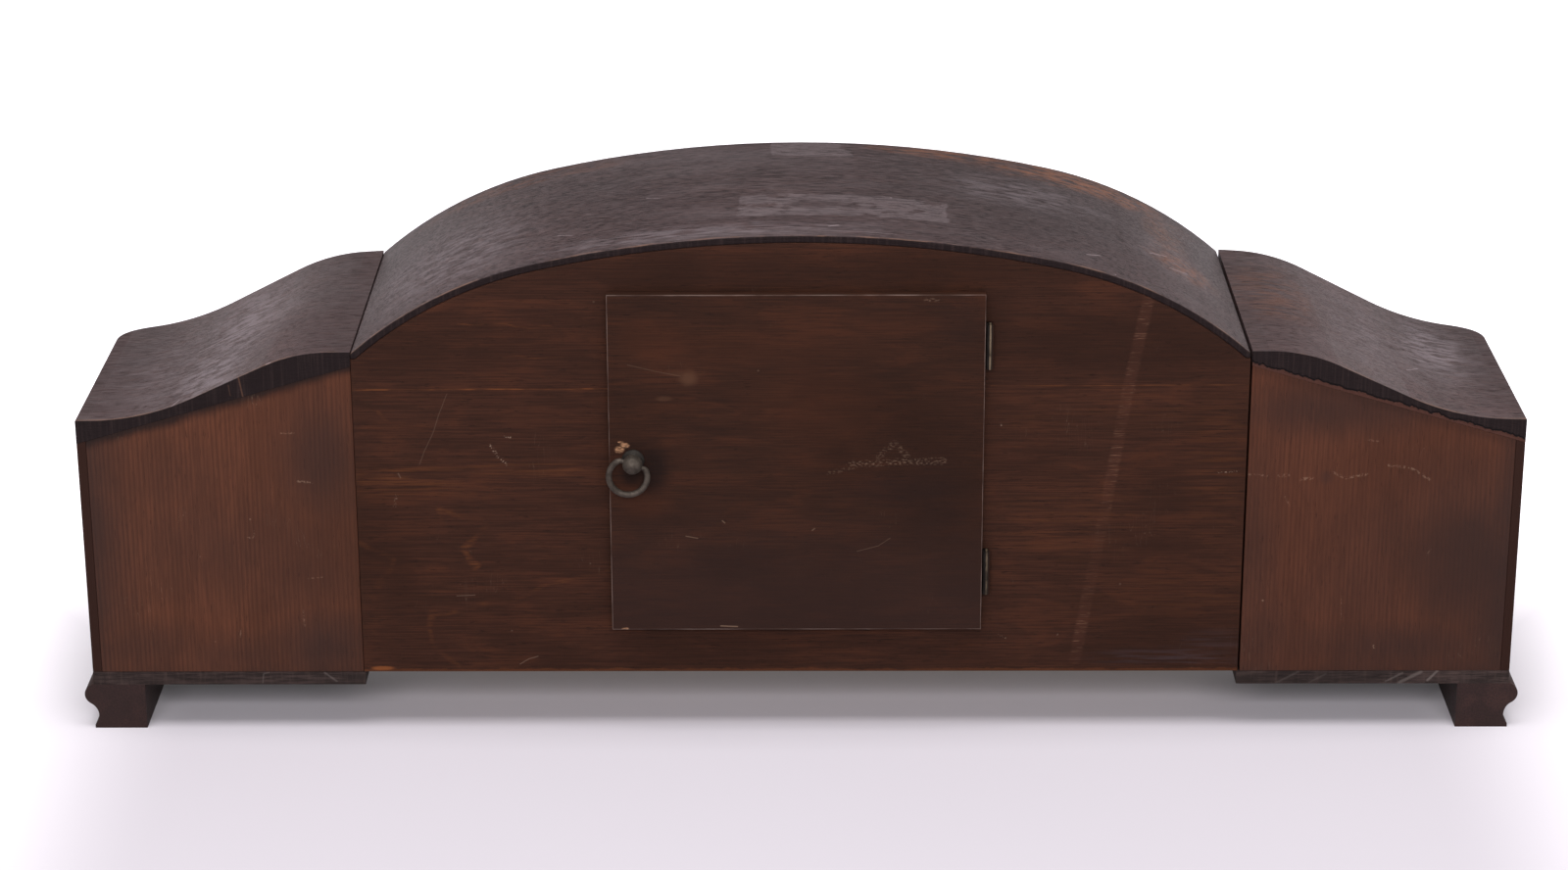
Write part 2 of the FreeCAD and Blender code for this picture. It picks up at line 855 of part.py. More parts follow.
def case_leaf(where, z):
    """Leaf in the back board with the outer two knuckles."""
    third = s.hinge_height / 3
    bore = s.hinge_pin_radius + s.press_clearance
    low = z - s.hinge_height / 2
    high = z + s.hinge_height / 2
    plate_low = (hinge_x - s.web_half, back - s.leaf_thickness, low)
    solids = [box(f"case_leaf_{where}_plate", plate_low, (leaf_end, back, high))]
    bores = []
    for k, (a, b) in enumerate(((low, low + third), (high - third, high))):
        name = f"case_leaf_{where}_{k}"
        barrel, hole = knuckle(name, a, b, bore)
        web_low = (hinge_x - s.web_half, back - s.leaf_thickness, a)
        solids += [barrel, box(f"{name}_web", web_low, (hinge_x + s.web_half, hinge_y, b))]
        bores.append(hole)
    whole = fuse(f"case_leaf_{where}_whole", solids)
    return cut(f"case_leaf_{where}", whole, group(f"case_leaf_{where}_bores", bores))


def door_leaf(where, z):
    """Leaf in the back of the door with the middle knuckle."""
    half = s.hinge_height / 6 - s.knuckle_gap
    tall = s.hinge_height / 2
    plate_high = (leaf_end, door_low + s.leaf_thickness, z + tall)
    plate = box(f"door_leaf_{where}_plate", (s.door_hinge_edge, door_low, z - tall), plate_high)
    web_high = (s.door_hinge_edge, hinge_y, z + half)
    web = box(f"door_leaf_{where}_web", (hinge_x, door_low, z - half), web_high)
    bore = s.hinge_pin_radius + s.running_clearance
    barrel, hole = knuckle(f"door_leaf_{where}", z - half, z + half, bore)
    return cut(f"door_leaf_{where}", fuse(f"door_leaf_{where}_whole", [plate, web, barrel]), hole)


def hinge_pin(where, z):
    over = s.leaf_thickness / 2
    low = z - s.hinge_height / 2 - over
    high = z + s.hinge_height / 2 + over
    return rod_z(f"hinge_pin_{where}", s.hinge_pin_radius, low, high, hinge_x, hinge_y)


def make_door():
    far = s.door_hinge_edge + s.door_width
    low = (s.door_hinge_edge, door_low, s.door_bottom)
    panel = box("door_blank", low, (far, door_high, s.door_bottom + s.door_height))
    tools = hinge_mortises("door", door_low, door_low + s.leaf_thickness)
    shank_hole = s.shank_radius + s.press_clearance
    tools.append(rod_y("door_shank_hole", shank_hole, door_low, door_high, s.knob_x, s.knob_z))
    keep(cut("back_door", panel, group("door_cuts", tools)), "back_door")
    keep(group("case_hinge_leaves", [case_leaf(k, z) for k, z in HINGES.items()]), "case_hinge_leaves")
    keep(group("door_hinge_leaves", [door_leaf(k, z) for k, z in HINGES.items()]), "door_hinge_leaves")
    keep(group("door_hinge_pins", [hinge_pin(k, z) for k, z in HINGES.items()]), "door_hinge_pins")


ball_y = door_high + s.ball_stand


def make_ring_knob():
    """Rosette, post, ball with a cross hole, and a shank through the door for the clip."""
    at = {"x": s.knob_x, "z": s.knob_z}
    rosette = rod_y("knob_rosette", s.rosette_radius, door_high, door_high + s.rosette_thickness, **at)
    post = rod_y("knob_post", s.knob_post_radius, door_high, ball_y, **at)
    shank = rod_y("knob_shank", s.shank_radius, door_low - s.shank_length, door_high, **at)
    ball = DOC.addObject("Part::Sphere", "knob_ball")
    bind(ball, "Radius", s.ball_radius)
    place(ball, s.knob_x, ball_y, s.knob_z)
    hole = DOC.addObject("Part::Cylinder", "knob_cross_hole")
    bind(hole, "Radius", s.ring_pivot_radius + s.running_clearance)
    bind(hole, "Height", s.ball_radius * 4)
    along = FreeCAD.Rotation(Y_AXIS, 90 - s.ring_tilt.value)
    reach = s.ball_radius * 2
    x = s.knob_x - reach * cosine(s.ring_tilt)
    z = s.knob_z - reach * sine(s.ring_tilt)
    place(hole, x, ball_y, z, along)
    whole = fuse("knob_whole", [rosette, post, shank, ball])
    keep(cut("ring_knob", whole, hole), "ring_knob")


def make_pull_ring():
    """Open ring whose ends turn in to pivot in the ball."""
    corner = s.ball_radius.value + s.ring_ball_gap.value + s.ring_wire.value
    wire, radius = s.ring_wire.value, s.ring_radius.value
    drop = math.sqrt(radius ** 2 - corner ** 2)
    open_half = math.degrees(math.asin(corner / radius))
    ring = Part.makeTorus(radius, wire, FreeCAD.Vector(), Z_AXIS, 0, 360, 360 - 2 * open_half)
    ring.rotate(FreeCAD.Vector(), Z_AXIS, 90 + open_half)
    ring.rotate(FreeCAD.Vector(), X_AXIS, 90)
    ring.translate(FreeCAD.Vector(0, 0, -drop))
    solids = [ring]
    inward = s.ball_radius.value - s.ring_pivot_depth.value
    for sign in SIDES.values():
        elbow = FreeCAD.Vector(sign * corner, 0, 0)
        solids.append(Part.makeSphere(wire, elbow))
        direction = FreeCAD.Vector(-sign, 0, 0)
        solids.append(Part.makeCylinder(s.ring_pivot_radius.value, corner - inward, elbow, direction))
    obj = DOC.addObject("Part::Feature", "pull_ring")
    obj.Shape = solids[0].multiFuse(solids[1:]).removeSplitter()
    place(obj, s.knob_x, ball_y, s.knob_z, FreeCAD.Rotation(Y_AXIS, -s.ring_tilt.value))
    keep(obj, "pull_ring")


def make_door_clip():
    """Bent spring strip on the inner face of the back board, pressing beside the knob's shank."""
    side = s.knob_x - s.shank_radius - s.clip_gap
    strip = s.clip_thickness
    low_z, high_z = s.knob_z - s.clip_half_height, s.knob_z + s.clip_half_height
    edge = s.door_hinge_edge + s.door_width - s.door_overlap
    plate = box("clip_foot_plate", (side - strip, board_front - strip, low_z),
                (edge + s.clip_foot, board_front, high_z))
    leaf = box("clip_leaf", (side - strip, board_front - strip, low_z),
               (side, board_front + s.clip_reach, high_z))
    keep(fuse("door_clip", [plate, leaf]), "door_clip")


# Dial, bezel, glass and hands, about the centre of the dial

def at_centre(obj):
    """Stand a piece that is modelled about the dial's centre at its height."""
    return place(obj, 0, 0, s.centre_height)


bezel_low = front - s.bezel_gap
bezel_high = bezel_low - s.bezel_height
seat_high = bezel_high + s.bezel_lip
groove_radius = s.glass_radius + s.glass_clearance
glass_front = seat_high + s.glass_clearance
glass_back = glass_front + s.glass_thickness
bezel_axis_x = -(s.bezel_radius + s.bezel_axis_offset)
bezel_axis_y = front - s.bezel_axis_height


def make_dial():
    body = new_body("dial")
    sketch = sketch_on(body, "XZ_Plane", "dial_outline")
    bind(sketch, "AttachmentOffset.Base.z", -front)
    add_circle(sketch, 0, 0, s.dial_radius)
    add_circle(sketch, 0, 0, s.dial_centre_hole)
    for x, z in (BARREL, STRIKE_BARREL):
        add_circle(sketch, x, z, s.winding_hole_radius)
    pad(body, sketch, s.dial_thickness)
    keep(at_centre(body), "dial")


def make_bezel():
    """Turned bezel with a rounded nose and a groove for the glass, an ear at the hinge and a tab."""
    wall_inner = s.bezel_radius - s.bezel_wall
    groove_back = glass_back + s.glass_clearance
    points = [
        (bezel_low, wall_inner),
        (bezel_low, s.bezel_radius),
        (bezel_low - s.bezel_side, s.bezel_radius),
        (bezel_high, s.bezel_sight_radius + s.bezel_lip),
        (bezel_high, s.bezel_sight_radius),
        (seat_high, s.bezel_sight_radius),
        (seat_high, groove_radius),
        (groove_back, groove_radius),
        (groove_back, wall_inner),
    ]
    ring = at_centre(turned("bezel_ring", points, {2: (s.bezel_nose_radius, 1)}))
    half = s.bezel_knuckle_height / 2 - s.knuckle_gap
    bore = s.bezel_pin_radius + s.running_clearance
    z = s.centre_height
    rim = -(s.bezel_radius - s.bezel_wall / 2)
    ear = box("bezel_ear", (bezel_axis_x, bezel_low - s.bezel_side, z - half), (rim, bezel_low, z + half))
    barrel = rod_z("bezel_knuckle", s.bezel_knuckle_radius, z - half, z + half, bezel_axis_x, bezel_axis_y)
    hole = rod_z("bezel_bore", bore, z - half, z + half, bezel_axis_x, bezel_axis_y)
    tab_back = bezel_low - s.bezel_tab_thickness
    tab_low = (s.bezel_radius - s.bezel_wall / 2, tab_back, z - s.bezel_tab_width / 2)
    tab_high = (s.bezel_radius + s.bezel_tab_reach, bezel_low, z + s.bezel_tab_width / 2)
    tab = box("bezel_tab", tab_low, tab_high)
    keep(cut("bezel", fuse("bezel_whole", [ring, ear, barrel, tab]), hole), "bezel")


def make_glass():
    """Domed glass with a flat rim in the bezel's groove."""
    dome_edge = s.bezel_sight_radius - s.glass_clearance
    dome_radius = (dome_edge * dome_edge + s.glass_dome * s.glass_dome) / (2 * s.glass_dome)
    points = [
        (glass_front - s.glass_dome, 0),
        (glass_back - s.glass_dome, 0),
        (glass_back, dome_edge),
        (glass_back, s.glass_radius),
        (glass_front, s.glass_radius),
        (glass_front, dome_edge),
    ]
    body = turned("bezel_glass", points, {1: (dome_radius, -1), 5: (dome_radius, 1)})
    keep(at_centre(body), "bezel_glass")


def make_bezel_hinge():
    """Leaf on the front panel with the outer two knuckles, and its pin."""
    tall = s.bezel_knuckle_height
    z = s.centre_height
    bore = s.bezel_pin_radius + s.press_clearance
    low_x = bezel_axis_x - s.bezel_leaf_width
    plate_low = (low_x, front - s.bezel_leaf_thickness, z - tall * 1.5)
    plate = box("bezel_leaf_plate", plate_low, (bezel_axis_x, front, z + tall * 1.5))
    relief_low = (bezel_axis_x - s.bezel_knuckle_radius - s.knuckle_gap, bezel_axis_y, z - tall / 2)
    relief = box("bezel_leaf_relief", relief_low, (bezel_axis_x, front, z + tall / 2))
    solids, bores = [plate], [relief]
    for k, offset in enumerate((-1, 1)):
        a = z + offset * tall - tall / 2
        b = z + offset * tall + tall / 2
        at = (bezel_axis_x, bezel_axis_y)
        solids.append(rod_z(f"bezel_leaf_knuckle_{k}", s.bezel_knuckle_radius, a, b, *at))
        bores.append(rod_z(f"bezel_leaf_bore_{k}", bore, a, b, *at))
    whole = fuse("bezel_leaf_whole", solids)
    keep(cut("bezel_hinge_leaf", whole, group("bezel_leaf_cuts", bores)), "bezel_hinge_leaf")
    over = s.bezel_leaf_thickness / 2
    pin = rod_z("bezel_hinge_pin", s.bezel_pin_radius, z - tall * 1.5 - over, z + tall * 1.5 + over,
                bezel_axis_x, bezel_axis_y)
    keep(pin, "bezel_hinge_pin")


# Movement: depths. The front plate stands behind the front panel on four posts.

plate_front = panel_back + s.post_length
plate_inner = plate_front + s.plate_thickness
rear_inner = plate_inner + s.plate_space
rear_back = rear_inner + s.plate_thickness
hour_hand_y = front - s.dial_thickness - s.hand_stand
minute_hand_y = hour_hand_y - s.hand_thickness - s.hand_space
nut_y = minute_hand_y - s.hand_thickness


def mesh_distance(teeth, pinion_teeth, module):
    return module * (teeth + pinion_teeth) / 2


def polar(origin, distance, angle):
    """A point at a clock angle and distance from another."""
    return origin[0] + distance * sine(angle), origin[1] + distance * cosine(angle)


great_distance = mesh_distance(s.great_teeth, s.great_pinion_teeth, s.great_module)
second_distance = mesh_distance(s.second_teeth, s.centre_pinion_teeth, s.second_module)
third_distance = mesh_distance(s.centre_teeth, s.third_pinion_teeth, s.centre_module)
escape_distance = mesh_distance(s.third_teeth, s.escape_pinion_teeth, s.third_module)
fly_distance = mesh_distance(s.strike_teeth, s.fly_pinion_teeth, s.strike_module)
motion_distance = mesh_distance(s.minute_teeth, s.cannon_teeth, s.motion_module)

CENTRE = (as_dim(0), as_dim(0))
SECOND = polar(CENTRE, second_distance, s.second_angle)
BARREL = polar(SECOND, great_distance, s.barrel_angle)
STRIKE_BARREL = (-BARREL[0], BARREL[1])
THIRD = polar(CENTRE, third_distance, s.third_angle)
ESCAPE = (as_dim(0), THIRD[1] + root(escape_distance * escape_distance - THIRD[0] * THIRD[0]))
ANCHOR = (as_dim(0), ESCAPE[1] + s.anchor_distance)
PIN_WHEEL = polar(STRIKE_BARREL, great_distance, s.pin_wheel_angle)
FLY = polar(PIN_WHEEL, fly_distance, s.fly_angle)
HAMMER = (s.hammer_x, s.hammer_z)
MINUTE_STUD = (as_dim(0), motion_distance)
CLICK_OFFSET = (as_dim(0), s.click_pivot)
CORNERS = [
    (sign * (s.plate_half_width - s.pillar_inset), z)
    for sign in SIDES.values()
    for z in (s.pillar_inset - s.plate_bottom, s.plate_top - s.pillar_inset)
]


def shifted(point, offset):
    return point[0] + offset[0], point[1] + offset[1]


def plate_outline():
    half, cut_off = s.plate_half_width, s.plate_corner
    top, bottom = s.plate_top, -s.plate_bottom
    return [
        (-half, bottom + cut_off), (cut_off - half, bottom),
        (half - cut_off, bottom), (half, bottom + cut_off),
        (half, top - cut_off), (half - cut_off, top),
        (cut_off - half, top), (-half, top - cut_off),
    ]


def make_plates():
    """Front plate with its studs, back plate, pillars and posts, and nuts."""
    pivot = s.pivot_radius + s.running_clearance
    arbor = s.arbor_radius + s.running_clearance
    winding = s.barrel_arbor_radius + s.running_clearance
    pivots = [(*p, pivot) for p in (THIRD, ESCAPE, SECOND, PIN_WHEEL, FLY)]
    windings = [(*p, winding) for p in (BARREL, STRIKE_BARREL)]
    ahead = pivots + windings + [(*CENTRE, arbor), (*ANCHOR, pivot), (*HAMMER, pivot)]
    blank = at_centre(slab_y("front_plate_blank", plate_front, plate_inner, plate_outline(), None, ahead))
    minute_top = plate_front - s.hour_wheel_gap
    ratchet_top = plate_front - s.ratchet_gap - s.ratchet_thickness
    studs = [(MINUTE_STUD, minute_top)]
    studs += [(shifted(b, CLICK_OFFSET), ratchet_top) for b in (BARREL, STRIKE_BARREL)]
    solids = [blank]
    for k, ((x, z), y) in enumerate(studs):
        solids.append(rod_y(f"front_plate_stud_{k}", s.stud_radius, y, plate_inner, x, z + s.centre_height))
    keep(fuse("front_plate", solids), "front_plate")

    clear = s.anchor_hub
    behind = pivots + windings + [(*CENTRE, pivot), (*ANCHOR, clear), (*HAMMER, arbor)]
    rear = slab_y("back_plate", rear_inner, rear_back, plate_outline(), None, behind)
    keep(at_centre(rear), "back_plate")

    pillars, nuts = [], []
    for k, (x, z) in enumerate(CORNERS):
        height = z + s.centre_height
        pillars.append(rod_y(f"pillar_{k}", s.pillar_radius, plate_inner, rear_inner, x, height))
        pillars.append(rod_y(f"post_{k}", s.post_radius, panel_back, plate_front, x, height))
        nut = DOC.addObject("Part::Prism", f"nut_{k}")
        nut.Polygon = 6
        bind(nut, "Circumradius", s.nut_radius)
        bind(nut, "Height", s.nut_height)
        nuts.append(place(nut, x, rear_back, height, Z_TO_Y))
    keep(group("plate_pillars", pillars), "plate_pillars")
    keep(group("plate_nuts", nuts), "plate_nuts")


# Movement: wheels. Angles are clock angles in radians, seen from the front.

# Each tooth's radii, in modules from the pitch circle, and half widths, in pitches, from root to tip
WHEEL_TOOTH = ((-1.15, 0.24), (0.0, 0.235), (0.55, 0.17), (0.95, 0.07))
PINION_TOOTH = ((-1.4, 0.17), (0.0, 0.17), (0.62, 0.07))


def clock_point(radius, angle, y=0.0):
    return FreeCAD.Vector(radius * math.sin(angle), y, radius * math.cos(angle))


def prism(points, y_low, y_high):
    """A prism along Y over an outline of points."""
    face = Part.Face(Part.makePolygon(points + points[:1]))
    solid = face.extrude(FreeCAD.Vector(0, y_high - y_low, 0))
    solid.translate(FreeCAD.Vector(0, y_low, 0))
    return solid


def toothed(teeth, module, tooth, phase, y_low, y_high):
    """A toothed prism whose first tooth points at the phase angle."""
    teeth = int(teeth.value)
    pitch = 2 * math.pi / teeth
    radius = module.value * teeth / 2
    flank = [(radius + module.value * rise, half * pitch) for rise, half in tooth]
    points = []
    for k in range(teeth):
        middle = phase + k * pitch
        points += [clock_point(r, middle - half) for r, half in flank]
        points += [clock_point(r, middle + half) for r, half in reversed(flank)]
    return prism(points, y_low, y_high)


def meshed_phase(driver, driver_phase, driver_teeth, driven, driven_teeth):
    """Phase at which a driven wheel's gap takes the driver's tooth on the line of centres."""
    line = math.atan2(driven[0].value - driver[0].value, driven[1].value - driver[1].value)
    pitch = 2 * math.pi / driven_teeth.value
    moved = (driver_phase - line) * driver_teeth.value / driven_teeth.value
    return line + math.pi - moved - pitch / 2


def bar(radius, y_low, y_high):
    """A round bar along Y about the piece's own axis."""
    return Part.makeCylinder(radius, y_high - y_low, FreeCAD.Vector(0, y_low, 0), Y_AXIS)


def feature(name, solids, arbor, cutters=()):
    """One solid piece, built about its own arbor and put where the arbor stands."""
    shape = solids[0]
    if len(solids) > 1:
        shape = shape.multiFuse(list(solids[1:]))
    for cutter in cutters:
        shape = shape.cut(cutter)
    obj = DOC.addObject("Part::Feature", name)
    obj.Shape = shape.removeSplitter()
    place(obj, arbor[0], 0, arbor[1] + s.centre_height)
    return keep(obj, name)


def pivoted_arbor(radius):
    """An arbor between the plates with a pivot in each plate."""
    shake = s.end_shake.value
    body = bar(radius.value, plate_inner.value + shake, rear_inner.value - shake)
    return [body, bar(s.pivot_radius.value, plate_front.value, rear_back.value)]


def depth(dim):
    """Depth behind the inner face of the front plate."""
    return (plate_inner + dim).value


def windows(teeth, module, y_low, y_high):
    """Round openings that lighten a wheel between its rim and its hub."""
    pitch_radius = module.value * teeth.value / 2
    circle = pitch_radius * 0.57
    radius = pitch_radius * 0.24
    holes = []
    for k in range(5):
        at = clock_point(circle, k * 2 * math.pi / 5, y_low)
        holes.append(Part.makeCylinder(radius, y_high - y_low, at, Y_AXIS))
    return holes


CENTRE_PHASE = 0.0
wheel_deep = s.wheel_thickness


def make_going_train():
    """Second wheel, centre wheel, third wheel and escape wheel, each with its pinion and arbor."""
    centre_pinion_low = depth(s.second_wheel_place - 2)
    centre_low, centre_high = depth(s.centre_wheel_place), depth(s.centre_wheel_place + wheel_deep)
    wheel = toothed(s.centre_teeth, s.centre_module, WHEEL_TOOTH, CENTRE_PHASE, centre_low, centre_high)
    pinion = toothed(s.centre_pinion_teeth, s.second_module, PINION_TOOTH, CENTRE_PHASE,
                     centre_pinion_low, centre_pinion_low + s.pinion_length.value)
    arbor = bar(s.arbor_radius.value, nut_y.value - s.hand_nut_height.value,
                rear_inner.value - s.end_shake.value)
    pivot = bar(s.pivot_radius.value, rear_inner.value - 2, rear_back.value)
    holes = windows(s.centre_teeth, s.centre_module, centre_low, centre_high)
    feature("centre_wheel", [arbor, pivot, wheel, pinion], CENTRE, holes)

    second_low, second_high = depth(s.second_wheel_place), depth(s.second_wheel_place + wheel_deep)
    phase = meshed_phase(CENTRE, CENTRE_PHASE, s.centre_pinion_teeth, SECOND, s.second_teeth)
    great_low = depth(s.great_wheel_place - 1.5)
    wheel = toothed(s.second_teeth, s.second_module, WHEEL_TOOTH, phase, second_low, second_high)
    pinion = toothed(s.great_pinion_teeth, s.great_module, PINION_TOOTH, phase,
                     great_low, great_low + s.pinion_length.value)
    holes = windows(s.second_teeth, s.second_module, second_low, second_high)
    feature("second_wheel", pivoted_arbor(s.arbor_radius) + [wheel, pinion], SECOND, holes)

    third_phase = meshed_phase(CENTRE, CENTRE_PHASE, s.centre_teeth, THIRD, s.third_pinion_teeth)
    third_low, third_high = depth(s.third_wheel_place), depth(s.third_wheel_place + wheel_deep)
    pinion_low = depth(s.third_pinion_place)
    wheel = toothed(s.third_teeth, s.third_module, WHEEL_TOOTH, third_phase, third_low, third_high)
    pinion = toothed(s.third_pinion_teeth, s.centre_module, PINION_TOOTH, third_phase,
                     pinion_low, pinion_low + s.pinion_length.value)
    holes = windows(s.third_teeth, s.third_module, third_low, third_high)
    feature("third_wheel", pivoted_arbor(s.fine_arbor_radius) + [wheel, pinion], THIRD, holes)

    phase = meshed_phase(THIRD, third_phase, s.third_teeth, ESCAPE, s.escape_pinion_teeth)
    escape_low, escape_high = depth(s.escape_wheel_place), depth(s.escape_wheel_place + wheel_deep)
    pinion_low = depth(s.third_wheel_place - 1.8)
    pinion = toothed(s.escape_pinion_teeth, s.third_module, PINION_TOOTH, phase,
                     pinion_low, pinion_low + s.pinion_length.value)
    wheel = escape_disc(escape_low, escape_high)
    feature("escape_wheel", pivoted_arbor(s.fine_arbor_radius) + [wheel, pinion], ESCAPE)


def escape_disc(y_low, y_high):
    """Escape wheel with slender raked teeth."""
    count = int(s.escape_teeth.value)
    pitch = 2 * math.pi / count
    tip, base = s.escape_radius.value, s.escape_radius.value - s.escape_depth.value
    points = []
    for k in range(count):
        start = k * pitch
        points += [clock_point(base, start), clock_point(tip, start + 0.42 * pitch)]
        points += [clock_point(tip, start + 0.5 * pitch), clock_point(base, start + 0.55 * pitch)]
    return prism(points, y_low, y_high)


def make_barrel(name, arbor, phase):
    """Drum with its great wheel, hollow for the mainspring."""
    low = depth(s.great_wheel_place)
    high = low + s.great_wheel_thickness.value
    drum_low = low - s.drum_length.value
    wall = s.drum_wall.value
    bore = s.barrel_arbor_radius.value + s.running_clearance.value
    wheel = toothed(s.great_teeth, s.great_module, WHEEL_TOOTH, phase, low, high)
    drum = bar(s.drum_radius.value, drum_low, low)
    hollow = bar(s.drum_radius.value - wall, drum_low + wall, low)
    hole = bar(bore, drum_low - wall, high + wall)
    feature(name, [wheel, drum], arbor, [hollow, hole])
    inner = s.spring_gap.value
    pack_low, pack_high = drum_low + wall + inner, low - inner
    pack = bar(s.drum_radius.value - wall - inner, pack_low, pack_high)
    eye = bar(s.spring_inner_radius.value, pack_low, pack_high)
    feature(name.replace("barrel", "mainspring"), [pack], arbor, [eye])


def ratchet(y_low, y_high):
    """Ratchet whose teeth fall away clockwise, so that it turns freely to wind."""
    count = int(s.ratchet_teeth.value)
    pitch = 2 * math.pi / count
    tip, base = s.ratchet_radius.value, s.ratchet_radius.value - s.ratchet_depth.value
    points = []
    for k in range(count):
        points += [clock_point(tip, k * pitch), clock_point(base, (k + 1) * pitch)]
    return prism(points, y_low, y_high)


ratchet_high = plate_front - s.ratchet_gap
ratchet_low = ratchet_high - s.ratchet_thickness


def make_winding(train, arbor):
    """Winding arbor with its square, spring core and ratchet, and the click that holds it."""
    radius = s.barrel_arbor_radius.value
    square_low = ratchet_low.value - s.winding_square_length.value
    half = s.winding_square.value / 2
    low = depth(s.great_wheel_place) - s.drum_length.value + s.drum_wall.value + s.spring_gap.value
    high = depth(s.great_wheel_place) - s.spring_gap.value
    corner = FreeCAD.Vector(-half, square_low, -half)
    square = Part.makeBox(2 * half, s.winding_square_length.value, 2 * half, corner)
    solids = [
        bar(radius, ratchet_low.value - 1, rear_back.value),
        bar(s.core_radius.value, low, high),
        ratchet(ratchet_low.value, ratchet_high.value),
        square,
    ]
    feature(f"{train}_winding_arbor", solids, arbor)

    tip = s.ratchet_radius.value
    base = tip - s.ratchet_depth.value
    gap = s.click_clearance.value
    pitch = 2 * math.pi / s.ratchet_teeth.value
    teeth_to_tip = round(math.radians(s.click_swing.value) / pitch)
    nose = teeth_to_tip * pitch - gap / tip
    pivot = s.click_pivot.value
    half_width = s.click_width.value / 2
    outline = [
        clock_point(base + gap, nose),
        clock_point(tip + half_width, nose),
        clock_point(pivot + half_width, 0.0),
        clock_point(pivot - half_width, 0.0),
        clock_point(tip + 2 * gap, nose - 0.55 * pitch),
    ]
    eye = FreeCAD.Vector(0, 0, -pivot)
    lever = prism([p + eye for p in outline], ratchet_low.value, ratchet_high.value)
    boss = bar(half_width, ratchet_low.value, ratchet_high.value)
    bore = bar(s.stud_radius.value + s.running_clearance.value, ratchet_low.value, ratchet_high.value)
    feature(f"{train}_click", [lever, boss], shifted(arbor, CLICK_OFFSET), [bore])


def make_motion_work():
    """Cannon pinion, minute wheel and hour wheel, and the two hands with their nut."""
    running, press = s.running_clearance.value, s.press_clearance.value
    minute_low = (plate_front - s.minute_wheel_gap - s.wheel_thickness).value
    minute_high = (plate_front - s.minute_wheel_gap).value
    hour_low = (plate_front - s.hour_wheel_gap - s.wheel_thickness).value
    hour_high = (plate_front - s.hour_wheel_gap).value
    cannon_high = minute_high + 1.0
    cannon_low = minute_low - 1.0
    cannon = toothed(s.cannon_teeth, s.motion_module, PINION_TOOTH, CENTRE_PHASE, cannon_low, cannon_high)
    pipe = bar(s.cannon_pipe_radius.value, nut_y.value, cannon_high)
    bore = bar(s.arbor_radius.value + press, nut_y.value, cannon_high)
    feature("cannon_pinion", [pipe, cannon], CENTRE, [bore])

    phase = meshed_phase(CENTRE, CENTRE_PHASE, s.cannon_teeth, MINUTE_STUD, s.minute_teeth)
    wheel = toothed(s.minute_teeth, s.motion_module, WHEEL_TOOTH, phase, minute_low, minute_high)
    pinion_low = hour_low - 0.8
    pinion = toothed(s.minute_pinion_teeth, s.motion_module, PINION_TOOTH, phase, pinion_low, minute_low)
    bore = bar(s.stud_radius.value + running, pinion_low, minute_high)
    feature("minute_wheel", [wheel, pinion], MINUTE_STUD, [bore])

    phase = meshed_phase(MINUTE_STUD, phase, s.minute_pinion_teeth, CENTRE, s.hour_teeth)
    wheel = toothed(s.hour_teeth, s.motion_module, WHEEL_TOOTH, phase, hour_low, hour_high)
    pipe = bar(s.hour_pipe_radius.value, (hour_hand_y - s.hand_thickness).value, hour_high)
    bore = bar(s.cannon_pipe_radius.value + running, (hour_hand_y - s.hand_thickness).value, hour_high)
    feature("hour_wheel", [wheel, pipe], CENTRE, [bore])

    hour_angle = 30 * s.rest_hour.value + s.rest_minute.value / 2
    minute_angle = 6 * s.rest_minute.value
    make_hand("hour_hand", hour_hand_y.value, s.hour_hand_length.value, s.hour_pipe_radius.value,
              s.hand_width.value, 0.0, hour_angle)
    make_hand("minute_hand", minute_hand_y.value, s.minute_hand_length.value, s.cannon_pipe_radius.value,
              s.hand_width.value * 0.8, s.hand_tail.value, minute_angle)
    nut = bar(s.hand_nut_radius.value, (nut_y - s.hand_nut_height).value, nut_y.value)
    bore = bar(s.arbor_radius.value + press, (nut_y - s.hand_nut_height).value, nut_y.value)
    feature("hand_nut", [nut], CENTRE, [bore])


def make_hand(name, y_high, length, pipe, width, tail, angle):
    """Flat spade hand: a hub, a slim stem and a pointed leaf."""
    y_low = y_high - s.hand_thickness.value
    hub = pipe + s.hand_hub_wall.value
    stem = width * 0.16
    outline = [
        (-stem, -tail), (stem, -tail), (stem, length * 0.55), (width / 2, length * 0.70),
        (stem * 1.2, length * 0.84), (0, length), (-stem * 1.2, length * 0.84),
        (-width / 2, length * 0.70), (-stem, length * 0.55),
    ]
    leaf = prism([FreeCAD.Vector(x, 0, z) for x, z in outline], y_low, y_high)
    leaf.rotate(FreeCAD.Vector(), Y_AXIS, angle)
    bore = bar(pipe + s.press_clearance.value, y_low, y_high)
    feature(name, [bar(hub, y_low, y_high), leaf], CENTRE, [bore])


# Escapement and pendulum, behind the back plate

crutch_low = rear_back + s.crutch_gap
crutch_high = crutch_low + s.crutch_thickness
cock_low = crutch_high + s.cock_gap
cock_high = cock_low + s.cock_thickness
swing_y = cock_high + s.hanger_depth / 2
pivot_z = ANCHOR[1] + s.centre_height


